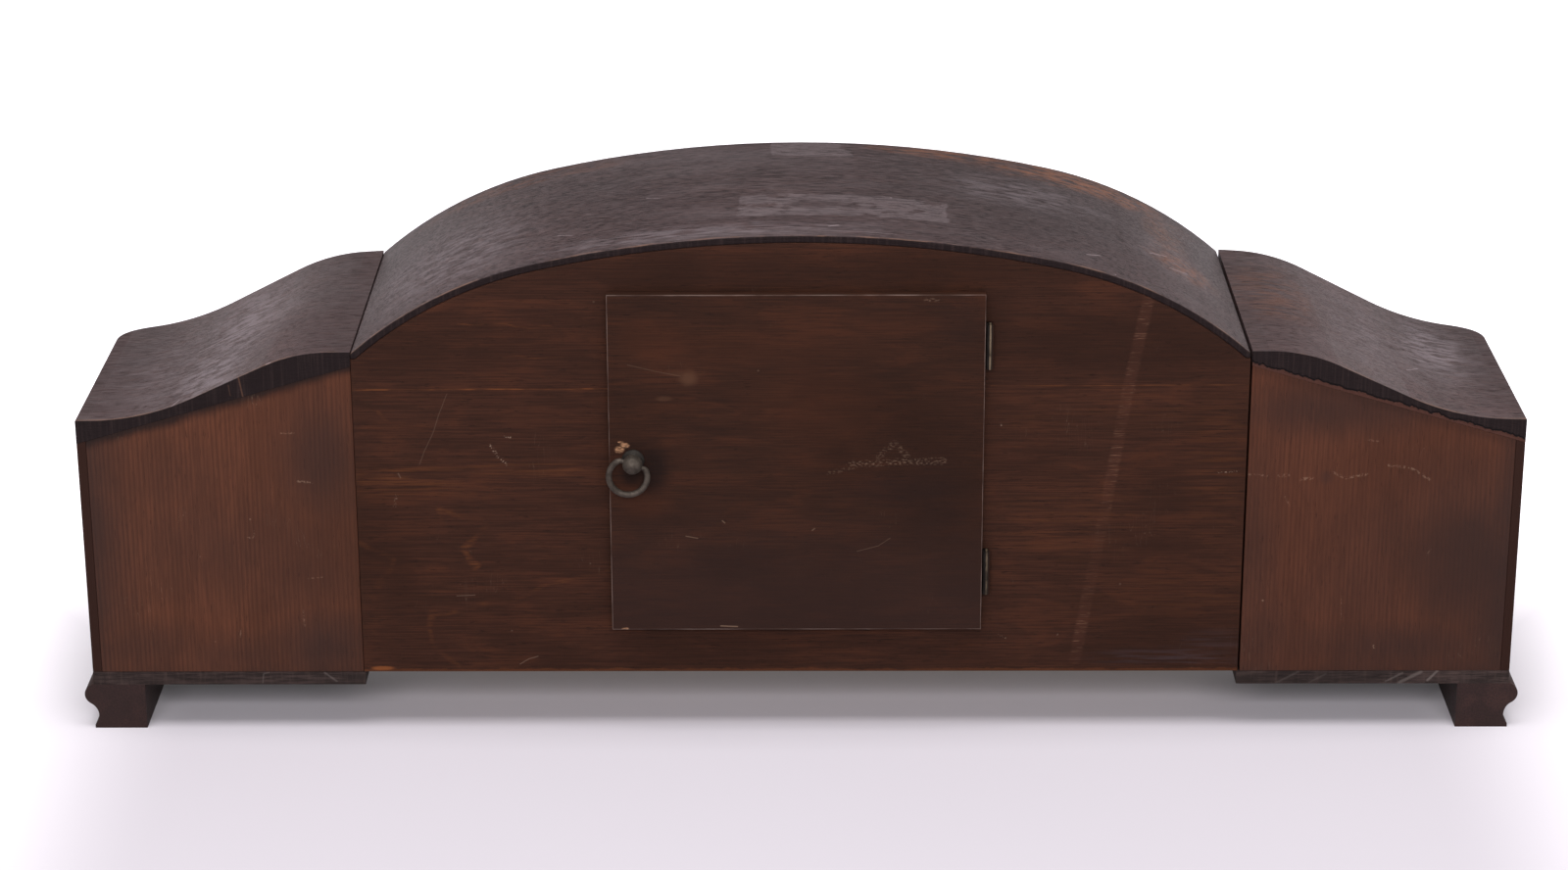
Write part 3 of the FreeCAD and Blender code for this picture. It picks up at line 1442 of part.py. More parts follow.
def make_anchor():
    """Pallet bow round the escape wheel, its arbor, and the crutch with its two prongs."""
    low = depth(s.escape_wheel_place - 0.8)
    high = depth(s.escape_wheel_place + s.wheel_thickness + 0.8)
    inner = s.escape_radius.value + s.pallet_gap.value
    outer = inner + s.anchor_width.value
    reach = math.radians(s.anchor_reach.value)
    steps = 8
    angles = [reach * (2 * k / steps - 1) for k in range(steps + 1)]
    centre = FreeCAD.Vector(0, 0, -s.anchor_distance.value)
    bow = [clock_point(outer, a) + centre for a in angles]
    bow += [clock_point(inner, a) + centre for a in reversed(angles)]
    shake = s.end_shake.value
    arm_low, arm_high = crutch_low.value, crutch_high.value
    half, drop = s.crutch_half_width.value, s.crutch_drop.value
    arm = Part.makeBox(2 * half, arm_high - arm_low, drop, FreeCAD.Vector(-half, arm_low, -drop))
    near = s.rod_radius.value + s.prong_clearance.value
    reach_y = (swing_y + s.rod_radius).value
    solids = [
        bar(s.arbor_radius.value, plate_inner.value + shake, cock_low.value - shake),
        bar(s.pivot_radius.value, plate_front.value, cock_high.value),
        bar(s.anchor_hub.value - 0.4, low, high),
        bar(s.anchor_hub.value - 0.4, arm_low, arm_high),
        prism(bow, low, high),
        arm,
    ]
    width, height = s.prong_width.value, s.prong_height.value
    solids.append(Part.makeBox(2 * (near + width), arm_high - arm_low, height,
                               FreeCAD.Vector(-near - width, arm_low, -drop)))
    for x in (-near - width, near):
        corner = FreeCAD.Vector(x, arm_low, -drop)
        solids.append(Part.makeBox(width, reach_y - arm_low, height, corner))
    feature("anchor", solids, ANCHOR)


def make_cock():
    """Bridge on the back plate: rear pivot of the anchor, and the hanger with the suspension spring."""
    half, leg = s.cock_half_width, s.cock_leg
    low_z, high_z = pivot_z - s.cock_below, pivot_z + s.cock_above
    solids = [box("cock_plate", (-half, cock_low, low_z), (half, cock_high, high_z))]
    for side, sign in SIDES.items():
        a, b = sorted((sign * half, sign * (half - leg)), key=lambda d: d.value)
        foot_low = (a, rear_back, low_z)
        solids.append(box(f"cock_leg_{side}", foot_low, (b, cock_low, pivot_z + s.cock_below)))
    wide = s.hanger_half_width
    hanger_low = pivot_z + s.hanger_height
    hanger_high = (wide, cock_high + s.hanger_depth, high_z)
    solids.append(box("cock_hanger", (-wide, cock_high, hanger_low), hanger_high))
    thin = s.spring_thickness / 2
    strip_low = (-s.spring_half_width, swing_y - thin, pivot_z + s.spring_flex_gap)
    solids.append(box("suspension_strip", strip_low, (s.spring_half_width, swing_y + thin, hanger_low)))
    hole = rod_y("cock_pivot_hole", s.pivot_radius + s.running_clearance, cock_low, cock_high, 0, pivot_z)
    keep(cut("pendulum_cock", fuse("cock_whole", solids), hole), "pendulum_cock")


def make_pendulum():
    """Rod with its clamp and rating nut, and the lens-shaped bob."""
    gap = s.spring_flex_gap
    clamp_low = (-s.hanger_half_width, swing_y - s.clamp_half_depth, pivot_z - gap - s.clamp_height)
    clamp_high = (s.hanger_half_width, swing_y + s.clamp_half_depth, pivot_z - gap)
    clamp = box("pendulum_clamp", clamp_low, clamp_high)
    bob_z = pivot_z - s.bob_drop
    nut_top = bob_z - s.bob_radius
    rod = rod_z("pendulum_wire", s.rod_radius, nut_top - s.rating_nut_height - s.rod_end,
                pivot_z - gap - s.clamp_height / 2, 0, swing_y)
    nut = rod_z("rating_nut", s.rating_nut_radius, nut_top - s.rating_nut_height, nut_top, 0, swing_y)
    keep(fuse("pendulum_rod", [clamp, rod, nut]), "pendulum_rod")

    half = s.bob_thickness / 2
    face_radius = (s.bob_radius * s.bob_radius + half * half) / s.bob_thickness
    points = [(-half, 0), (0, s.bob_radius), (half, 0)]
    lens = turned("bob_lens", points, {0: (face_radius, -1), 1: (face_radius, -1)})
    place(lens, 0, swing_y, bob_z)
    bore = s.rod_radius + s.press_clearance
    hole = rod_z("bob_hole", bore, bob_z - s.bob_radius, bob_z + s.bob_radius, 0, swing_y)
    keep(cut("pendulum_bob", lens, hole), "pendulum_bob")


# Strike

def make_strike_train():
    """Pin wheel with its lifting pins, and the fly."""
    barrel_phase = 0.0
    pinion_phase = meshed_phase(STRIKE_BARREL, barrel_phase, s.great_teeth, PIN_WHEEL, s.great_pinion_teeth)
    low, high = depth(s.second_wheel_place), depth(s.second_wheel_place + wheel_deep)
    great_low = depth(s.great_wheel_place - 1.5)
    solids = pivoted_arbor(s.arbor_radius)
    solids.append(toothed(s.strike_teeth, s.strike_module, WHEEL_TOOTH, pinion_phase, low, high))
    solids.append(toothed(s.great_pinion_teeth, s.great_module, PINION_TOOTH, pinion_phase,
                          great_low, great_low + s.pinion_length.value))
    count = int(s.pin_count.value)
    for k in range(count):
        at = clock_point(s.pin_circle.value, 2 * math.pi * k / count, low)
        length = high - low + s.pin_length.value
        solids.append(Part.makeCylinder(s.pin_radius.value, length, at, Y_AXIS))
    feature("pin_wheel", solids, PIN_WHEEL)

    phase = meshed_phase(PIN_WHEEL, pinion_phase, s.strike_teeth, FLY, s.fly_pinion_teeth)
    pinion_low = depth(s.second_wheel_place - 2)
    solids = pivoted_arbor(s.arbor_radius)
    solids.append(toothed(s.fly_pinion_teeth, s.strike_module, PINION_TOOTH, phase,
                          pinion_low, pinion_low + s.pinion_length.value))
    reach, thin = s.fly_radius.value, s.fly_thickness.value
    corner = FreeCAD.Vector(-reach, depth(s.fly_place), -thin / 2)
    solids.append(Part.makeBox(2 * reach, s.fly_length.value, thin, corner))
    feature("strike_fly", solids, FLY)
    make_barrel("strike_barrel", STRIKE_BARREL, barrel_phase)


def rod_places():
    count = int(s.rod_count.value)
    return [s.rod_first + k * s.rod_spacing for k in range(count)]


def make_hammers():
    """Hammer arbor with a lifting tail between the plates and one hammer for each gong rod."""
    last = rod_places()[-1].value
    solids = [
        bar(s.arbor_radius.value, plate_inner.value + s.end_shake.value, last + 2 * s.hammer_wire.value),
        bar(s.pivot_radius.value, plate_front.value, plate_inner.value + 1),
    ]
    to_pins = FreeCAD.Vector((PIN_WHEEL[0] - HAMMER[0]).value, 0, (PIN_WHEEL[1] - HAMMER[1]).value)
    length = to_pins.Length - s.pin_circle.value - s.pin_radius.value - s.hammer_tail_gap.value
    half = s.hammer_tail_width.value / 2
    tail_low = depth(s.second_wheel_place + wheel_deep + 0.4)
    tail_high = depth(s.second_wheel_place + wheel_deep + s.pin_length - 0.2)
    tail_outline = rectangle(-half, 0, half, length)
    tail = prism([FreeCAD.Vector(x, 0, z) for x, z in tail_outline], tail_low, tail_high)
    tail.rotate(FreeCAD.Vector(), Y_AXIS, math.degrees(math.atan2(to_pins.x, to_pins.z)))
    solids.append(tail)
    rest = (s.rod_height + s.gong_rod_radius + s.hammer_lift_gap - s.centre_height - s.hammer_z).value
    top = rest + s.hammer_head_height.value
    reach = -s.hammer_reach.value
    for place_y in rod_places():
        y = place_y.value
        foot_point = FreeCAD.Vector(reach, y, rest)
        head = Part.makeCylinder(s.hammer_head_radius.value, top - rest, foot_point, Z_AXIS)
        start = FreeCAD.Vector(0, y, 0)
        run = FreeCAD.Vector(reach, y, (rest + top) / 2) - start
        wire = Part.makeCylinder(s.hammer_wire.value, run.Length, start, run)
        hub = bar(2 * s.hammer_wire.value, y - 2 * s.hammer_wire.value, y + 2 * s.hammer_wire.value)
        solids += [head, wire, hub]
    feature("strike_hammers", solids, HAMMER)


def make_gong():
    """Cast block on the base board with the gong rods screwed into it."""
    low_x = s.partition_thickness + s.block_gap - s.centre_half
    face = low_x + s.block_width
    base = box_bottom + s.base_thickness
    places = rod_places()
    low = (low_x, places[0] - s.block_margin, base)
    high = (face, places[-1] + s.block_margin, base + s.block_height)
    rods, seats = [], []
    along = FreeCAD.Rotation(Y_AXIS, 90)
    for k, y in enumerate(places):
        for kind, radius, length, store in (
            ("rod", s.gong_rod_radius, s.rod_seat + s.rod_length - k * s.rod_step, rods),
            ("seat", s.gong_rod_radius + s.press_clearance, s.rod_seat, seats),
        ):
            obj = DOC.addObject("Part::Cylinder", f"gong_{kind}_{k}")
            bind(obj, "Radius", radius)
            bind(obj, "Height", length)
            store.append(place(obj, face - s.rod_seat, y, s.rod_height, along))
    keep(cut("gong_block", box("gong_block_blank", low, high), group("gong_seats", seats)), "gong_block")
    keep(group("gong_rods", rods), "gong_rods")


def make_movement():
    make_plates()
    make_going_train()
    second_phase = meshed_phase(CENTRE, CENTRE_PHASE, s.centre_pinion_teeth, SECOND, s.second_teeth)
    phase = meshed_phase(SECOND, second_phase, s.great_pinion_teeth, BARREL, s.great_teeth)
    make_barrel("time_barrel", BARREL, phase)
    make_winding("time", BARREL)
    make_winding("strike", STRIKE_BARREL)
    make_motion_work()
    make_anchor()
    make_cock()
    make_pendulum()
    make_strike_train()
    make_hammers()
    make_gong()


def check_and_write():
    """Stop on any failed object or bad shape, then write each sub-part to its file."""
    DOC.recompute()
    failed = [o.Name for o in DOC.Objects if {"Invalid", "Error"} & set(o.State)]
    if failed:
        raise RuntimeError(f"failed objects: {failed}")
    for name, obj in parts.items():
        if obj.Shape.isNull() or not obj.Shape.isValid():
            raise RuntimeError(f"bad shape: {name}")
    os.makedirs("parts", exist_ok=True)
    for name, obj in parts.items():
        obj.Shape.exportStep(f"parts/{name}.step")
        solids = len(obj.Shape.Solids)
        extent = obj.Shape.BoundBox
        print(f"{name}: {solids} solids, {obj.Shape.Volume:.1f} mm3, "
              f"X {extent.XMin:.2f}..{extent.XMax:.2f} Y {extent.YMin:.2f}..{extent.YMax:.2f} "
              f"Z {extent.ZMin:.2f}..{extent.ZMax:.2f}")
    print(f"{len(parts)} parts")


make_centre()
for side_name, side_sign in SIDES.items():
    make_shoulder(side_name, side_sign)
make_feet()
make_door()
make_ring_knob()
make_pull_ring()
make_door_clip()
make_dial()
make_bezel()
make_glass()
make_bezel_hinge()
make_movement()
check_and_write()
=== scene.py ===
"""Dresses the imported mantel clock: worn stained timber, aged metal, a painted dial and a plain studio."""

import logging
import math
from dataclasses import dataclass
from enum import Enum
from functools import partial, reduce
from typing import Iterator, Sequence, Union

import bmesh
import bpy
import numpy as np
from mathutils import Matrix, Vector


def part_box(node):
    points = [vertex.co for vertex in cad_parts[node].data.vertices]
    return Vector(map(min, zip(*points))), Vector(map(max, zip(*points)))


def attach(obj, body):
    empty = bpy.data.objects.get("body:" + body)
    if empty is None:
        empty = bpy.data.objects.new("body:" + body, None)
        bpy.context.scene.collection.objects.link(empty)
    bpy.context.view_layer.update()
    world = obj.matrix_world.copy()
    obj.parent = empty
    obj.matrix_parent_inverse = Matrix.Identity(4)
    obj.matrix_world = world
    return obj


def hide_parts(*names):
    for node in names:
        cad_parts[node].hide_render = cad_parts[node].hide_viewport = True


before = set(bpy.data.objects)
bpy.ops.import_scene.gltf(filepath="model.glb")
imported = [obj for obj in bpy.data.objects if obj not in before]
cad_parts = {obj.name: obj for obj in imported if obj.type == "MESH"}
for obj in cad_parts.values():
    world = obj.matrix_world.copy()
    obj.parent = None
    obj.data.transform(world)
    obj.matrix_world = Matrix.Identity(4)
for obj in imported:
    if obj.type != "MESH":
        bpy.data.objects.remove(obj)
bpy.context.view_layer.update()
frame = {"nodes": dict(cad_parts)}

LOG = logging.getLogger("mantel_clock")

# Sizes in fields are in millimetres, but the studio's are in metres; scales of noise are cells per metre
MM = 0.001
TINY = 1e-12
MERGE_DISTANCE = 1e-7
WELD_DISTANCE = 1e-6
ARRIS_ANGLE = 40.0
WHITE = (1.0, 1.0, 1.0)

# The joint between a shoulder back and its cap: where it starts, and its drop over its run
JOINT_START = (188.0, 166.0)
JOINT_SLOPE = 34.5 / 117.0

Colour = tuple[float, float, float]
Place = tuple[float, float]
Scale = Union[float, tuple[float, ...]]
Value = Union[float, Colour, bpy.types.NodeSocket]


class Axis(Enum):
    """An axis of the part's frame, by its place among the coordinates."""

    X = 0
    Y = 1
    Z = 2


Plane = tuple[Axis, Axis]
BACK = (Axis.X, Axis.Z)
TOP = (Axis.X, Axis.Y)


class Nodes:
    """A node tree in the making, with short calls for the nodes it is made of."""

    def __init__(self, tree: bpy.types.NodeTree) -> None:
        """Take a tree and empty it."""
        self.tree = tree
        self.tree.nodes.clear()

    def node(self, kind: str, settings: dict | None = None, **inputs: Value) -> bpy.types.Node:
        """Add a node.

        Args:
            kind: Blender's name of the node.
            settings: Properties of the node itself.
            **inputs: Values or sockets for its inputs, with _ for a space in a name.
        Returns:
            The node.
        """
        made = self.tree.nodes.new(kind)
        for key, value in (settings or {}).items():
            setattr(made, key, value)
        for key, value in inputs.items():
            self.feed(made.inputs[key.replace("_", " ")], value)
        return made

    def feed(self, socket: bpy.types.NodeSocket, value: Value) -> None:
        """Link a socket into another, or set its value.

        Args:
            socket: The input.
            value: An output to link, or a number or colour to set.
        """
        if isinstance(value, bpy.types.NodeSocket):
            self.tree.links.new(value, socket)
        elif isinstance(value, (tuple, list)) and socket.type == "RGBA":
            socket.default_value = (*value, 1.0)[:4]
        else:
            socket.default_value = value

    def calc(self, operation: str, *values: Value) -> bpy.types.NodeSocket:
        """Add one Math node.

        Args:
            operation: Blender's name of the operation.
            *values: Up to three values.
        Returns:
            The result.
        """
        made = self.node("ShaderNodeMath", {"operation": operation})
        for socket, value in zip(made.inputs, values):
            self.feed(socket, value)
        return made.outputs[0]

    def times(self, *values: Value) -> Value:
        """The product of several values."""
        return reduce(partial(self.calc, "MULTIPLY"), values)

    def plus(self, *values: Value) -> Value:
        """The sum of several values."""
        return reduce(partial(self.calc, "ADD"), values)

    def minus(self, a: Value, b: Value) -> Value:
        """The difference of two values."""
        return self.calc("SUBTRACT", a, b)

    def either(self, *masks: Value) -> Value:
        """The largest of several masks, or 0 for none."""
        return reduce(partial(self.calc, "MAXIMUM"), masks, 0.0)

    def vector(self, operation: str, a: Value, b: Value) -> bpy.types.NodeSocket:
        """Add one Vector Math node.

        Args:
            operation: Blender's name of the operation.
            a: The first vector.
            b: The second.
        Returns:
            The result, a number or a vector.
        """
        made = self.node("ShaderNodeVectorMath", {"operation": operation})
        self.feed(made.inputs[0], a)
        self.feed(made.inputs[1], b)
        return made.outputs["Value" if operation in ("DOT_PRODUCT", "DISTANCE") else "Vector"]

    def ramp(self, value: Value, low: float, high: float, start: float = 0.0, end: float = 1.0,
             smooth: bool = True) -> bpy.types.NodeSocket:
        """A clamped step from start to end as a value goes from low to high.

        Args:
            value: The value.
            low: Where the step starts.
            high: Where it ends, which may be below low.
            start: The result at low.
            end: The result at high.
            smooth: Whether the step eases in and out.
        Returns:
            The result.
        """
        kind = "SMOOTHSTEP" if smooth else "LINEAR"
        return self.node("ShaderNodeMapRange", {"interpolation_type": kind}, Value=value, From_Min=low,
                         From_Max=high, To_Min=start, To_Max=end).outputs[0]


class Graph(Nodes):
    """A procedural material in the making, with the colour, roughness, height and gloss laid so far."""

    def __init__(self, name: str) -> None:
        """Start a material with one Principled shader.

        Args:
            name: The material's name.
        """
        self.material = bpy.data.materials.new(name)
        self.material.use_nodes = True
        super().__init__(self.material.node_tree)
        self.shader = self.node("ShaderNodeBsdfPrincipled")
        self.node("ShaderNodeOutputMaterial", Surface=self.shader.outputs[0])
        self.place = self.node("ShaderNodeTexCoord").outputs["Object"]
        self.xyz = self.node("ShaderNodeSeparateXYZ", Vector=self.place).outputs[:3]
        self.planes: dict[tuple, bpy.types.NodeSocket] = {}
        self.colour: Value = WHITE
        self.rough: Value = 0.5
        self.height: Value = 0.0
        self.gloss: Value = 0.5

    def blend(self, share: Value, a: Value, b: Value) -> bpy.types.NodeSocket:
        """Mix two colours.

        Args:
            share: Share of the second, from 0 to 1.
            a: The first colour.
            b: The second.
        Returns:
            The mixed colour.
        """
        made = self.node("ShaderNodeMix", {"data_type": "RGBA"})
        for number, value in ((0, share), (6, a), (7, b)):
            self.feed(made.inputs[number], value)
        return made.outputs[2]

    def lay(self, tint: Value, *masks: Value) -> None:
        """Lay a tint over the colour so far, by the product of its masks."""
        self.colour = self.blend(self.times(*masks), self.colour, tint)

    def cells(self, scale: Scale, detail: float = 3.0, rough: float = 0.55, warp: float = 0.0,
              turn: Sequence[float] = (0, 0, 0), shift: Sequence[float] = (0, 0, 0)) -> bpy.types.NodeSocket:
        """Noise around a half over the object's coordinates.

        Args:
            scale: Cells per metre, for all axes or for each.
            detail: Octaves of finer noise.
            rough: Weight of each finer octave.
            warp: How far the noise is distorted.
            turn: Angles that the coordinates are turned by.
            shift: Distance that they are moved by.
        Returns:
            The noise.
        """
        scale = scale if isinstance(scale, tuple) else (scale,) * 3
        where = self.node("ShaderNodeMapping", Vector=self.place, Location=shift, Rotation=turn, Scale=scale)
        return self.node("ShaderNodeTexNoise", Vector=where.outputs[0], Scale=1.0, Detail=detail,
                         Roughness=rough, Distortion=warp).outputs["Fac"]

    def patches(self, scale: Scale, low: float, high: float, start: float = 0.0, end: float = 1.0,
                **noise: object) -> bpy.types.NodeSocket:
        """Noise cells stepped into a mask, as ramp steps a value."""
        return self.ramp(self.cells(scale, **noise), low, high, start, end)

    def step(self, value: Value, span: Place, start: float = 0.0,
             end: float = 1.0) -> bpy.types.NodeSocket:
        """A ramp between the two ends of a span, which are in millimetres."""
        return self.ramp(value, span[0] * MM, span[1] * MM, start, end)

    def swing(self, value: Value, reach: float) -> Value:
        """Noise moved to swing about zero, over a reach."""
        return self.times(self.minus(value, 0.5), reach)

    def flat(self, axes: Plane, warp: float) -> bpy.types.NodeSocket:
        """Object coordinates pressed onto the plane of two axes, and pushed about by noise.

        Args:
            axes: The plane's two axes.
            warp: How far noise moves a point, in metres.
        Returns:
            The coordinates, kept for the next stroke that asks for the same.
        """
        key = (axes, warp)
        if key not in self.planes:
            keep = [1.0 if axis in axes else 0.0 for axis in Axis]
            place = self.place
            if warp:
                cloud = self.node("ShaderNodeTexNoise", Vector=self.place, Scale=42.0, Detail=2.0)
                push = self.vector("SUBTRACT", cloud.outputs["Color"], (0.5, 0.5, 0.5))
                place = self.vector("ADD", self.vector("MULTIPLY", push, (2 * warp,) * 3), self.place)
            self.planes[key] = self.vector("MULTIPLY", place, keep)
        return self.planes[key]

    def slab(self, axis: Axis, low: float, high: float, soft: float, stray: Value = 0.0) -> Value:
        """Mask of 1 between two planes across an axis.

        Args:
            axis: The axis.
            low: Place of the first plane, in millimetres.
            high: Place of the second.
            soft: Width over which the mask fades outside of them.
            stray: Distance added to the measured one, in metres.
        Returns:
            The mask.
        """
        middle, half = (low + high) / 2, (high - low) / 2
        away = self.calc("ABSOLUTE", self.minus(self.xyz[axis.value], middle * MM))
        return self.step(self.plus(away, stray), (half + soft, half))

    def marks(self, marks: "Marks", axes: Plane = BACK, stray: Value = 0.0, warp: float = 0.0) -> Value:
        """Mask of several marks, each as strong as it says.

        Args:
            marks: The strokes or blots.
            axes: Axes of the face.
            stray: Distance added to the measured one, to roughen their edges.
            warp: How far noise bends strokes, in metres.
        Returns:
            The mask.
        """
        return self.either(*(mark.mask(self, axes, stray, warp) for mark in marks))

    def finish(self, relief: float = 0.0, **rest: Value) -> bpy.types.Material:
        """Feed the shader and return the material.

        Args:
            relief: Depth of the bump that the height gives, in millimetres.
            **rest: Further inputs of the shader, with _ for a space.
        Returns:
            The material.
        """
        if relief:
            bump = self.node("ShaderNodeBump", Height=self.height, Strength=1.0, Distance=relief * MM)
            self.feed(self.shader.inputs["Normal"], bump.outputs[0])
        for key, value in {"Base_Color": self.colour, "Roughness": self.rough, **rest}.items():
            self.feed(self.shader.inputs[key.replace("_", " ")], value)
        return self.material


@dataclass(frozen=True)
class Stroke:
    """A scratch, line or rub on a flat face, through points in millimetres."""

    points: tuple[Place, ...]
    width: float
    soft: float = 0.5
    strength: float = 1.0

    def mask(self, g: Graph, axes: Plane, stray: Value, warp: float) -> Value:
        """Mask that falls with the distance from a point to the nearest point of each straight run.

        Args:
            g: The material's graph.
            axes: Axes of the face.
            stray: Distance added to the measured one.
            warp: How far noise bends the stroke.
        Returns:
            The mask.
        """
        half = self.width / 2
        runs = []
        for start, end in zip(self.points[:-1], self.points[1:]):
            first, run = [0.0] * 3, [0.0] * 3
            for axis, low, high in zip(axes, start, end):
                first[axis.value] = low * MM
                run[axis.value] = (high - low) * MM
            square = max(sum(c * c for c in run), TINY)
            out = g.vector("SUBTRACT", g.flat(axes, warp), first)
            along = g.vector("DOT_PRODUCT", out, [c / square for c in run])
            along = g.calc("MINIMUM", g.calc("MAXIMUM", along, 0.0), 1.0)
            foot = g.node("ShaderNodeVectorMath", {"operation": "SCALE"}, Scale=along)
            foot.inputs[0].default_value = run
            away = g.plus(g.vector("DISTANCE", out, foot.outputs[0]), stray)
            runs.append(g.step(away, (half + self.soft, half)))
        return g.times(g.either(*runs), self.strength)


@dataclass(frozen=True)
class Blot:
    """A cloudy patch on a flat face, in millimetres."""

    centre: Place
    radii: Place
    strength: float = 1.0
    soft: float = 0.6

    def mask(self, g: Graph, axes: Plane, stray: Value, warp: float) -> Value:
        """Mask of 1 within an ellipse, fading outwards.

        Args:
            g: The material's graph.
            axes: Axes of the face.
            stray: Share of the radius added to the measured one.
            warp: Not used, because only strokes are bent.
        Returns:
            The mask.
        """
        u, v = (g.calc("DIVIDE", g.minus(g.xyz[axis.value], middle * MM), radius * MM)
                for axis, middle, radius in zip(axes, self.centre, self.radii))
        away = g.plus(g.calc("SQRT", g.calc("MULTIPLY_ADD", u, u, g.times(v, v))), stray)
        return g.times(g.ramp(away, 1.0 + self.soft, 1.0 - self.soft), self.strength)


Marks = tuple[Union[Stroke, Blot], ...]


def toned(colour: Colour, share: float) -> Colour:
    """A colour made darker or lighter."""
    return tuple(min(c * share, 1.0) for c in colour)


def above_joint(g: Graph) -> Value:
    """Height above the sloping joint between a shoulder back and its cap."""
    level = g.calc("MULTIPLY_ADD", g.calc("ABSOLUTE", g.xyz[0]), JOINT_SLOPE, g.xyz[2])
    return g.minus(level, (JOINT_START[1] + JOINT_SLOPE * JOINT_START[0]) * MM)


@dataclass(frozen=True)
class Timber:
    """Stained timber with long grain, cloudy stain, fine pores and handling wear."""

    name: str
    dark: Colour
    middle: Colour
    warm: Colour
    grain: Axis
    fibre_pitch: float = 0.6
    fibre_length: float = 11.0
    cloud_size: float = 40.0
    roughness: float = 0.52
    pore_depth: float = 0.12
    shift: float = 0.0
    gloss: float = 0.5
    warm_share: float = 0.5
    mottle_share: float = 0.28
    fleck_pitch: float = 17.6
    sheen_tint: Colour = WHITE

    def streaks(self, pitch: float, length: float) -> tuple[float, ...]:
        """Noise cells per metre along each axis for streaks of a pitch and a length in millimetres."""
        return tuple(1.0 / ((length if axis is self.grain else pitch) * MM) for axis in Axis)

    def base(self, g: Graph) -> None:
        """Lay the bare stained timber.

        Short fibres run along the grain over a mottle that is stretched the same way, and stain lies in
        wide clouds.

        Args:
            g: The material's graph.
        """
        shift = (self.shift, self.shift * 0.7, self.shift * 1.3)
        fibre = g.cells(self.streaks(self.fibre_pitch, self.fibre_length), 3.0, 0.65, shift=shift)
        mottle = g.cells(self.streaks(self.cloud_size * 0.28, self.cloud_size), 5.0, 0.6, 0.7, shift=shift)
        cloud = g.cells(0.4 / (self.cloud_size * MM), 3.0, 0.5, 0.3, shift=shift)
        tone = g.calc("MULTIPLY_ADD", fibre, 1.0 - self.mottle_share, g.times(mottle, self.mottle_share))
        g.colour = g.blend(g.ramp(tone, 0.40, 0.60), self.dark, self.middle)
        g.lay(self.warm, g.ramp(mottle, 0.48, 0.66), g.ramp(fibre, 0.42, 0.6, 0.15), self.warm_share)
        g.lay(toned(self.dark, 0.75), g.ramp(cloud, 0.45, 0.7, 0.0, 0.5))
        pore = g.ramp(g.cells(self.streaks(0.45, 5.0), 2.0, 0.5, shift=shift), 0.38, 0.27)
        g.lay(toned(self.dark, 0.35), pore, 0.6)
        g.rough = g.plus(self.roughness, g.swing(g.plus(cloud, fibre), 0.22))
        g.height = g.minus(g.times(fibre, 0.5), g.times(pore, 0.6))
        g.gloss = self.gloss

    def dust(self, g: Graph, tint: Colour, share: float) -> None:
        """Scatter small pale flecks and short hairline scratches.

        Args:
            g: The material's graph.
            tint: Their colour.
            share: How strong they are.
        """
        flecks = g.node("ShaderNodeTexVoronoi", Vector=g.place, Scale=1 / (self.fleck_pitch * MM))
        fleck = g.ramp(flecks.outputs["Distance"], 0.035, 0.012)
        g.lay(tint, fleck, g.patches(90.0, 0.45, 0.6, detail=1.0), share)
        hair = g.cells((600.0, 600.0, 55.0), 1.0, 0.5, 0.4, turn=(0.4, 0.9, 0.5))
        line = g.ramp(g.calc("ABSOLUTE", g.minus(hair, 0.5)), 0.006, 0.001)
        g.lay(tint, line, g.patches(38.0, 0.6, 0.72, detail=2.0), share * 0.5)

    def mark(self, g: Graph) -> None:
        """Lay the finish's own marks over the bare timber: here only dust."""
        self.dust(g, toned(self.middle, 3.2), 0.5)

    def make(self) -> bpy.types.Material:
        """The finish, from its bare timber to its marks.

        Returns:
            The material.
        """
        g = Graph(self.name)
        self.base(g)
        self.mark(g)
        return g.finish(self.pore_depth, Specular_IOR_Level=g.gloss, Specular_Tint=self.sheen_tint)


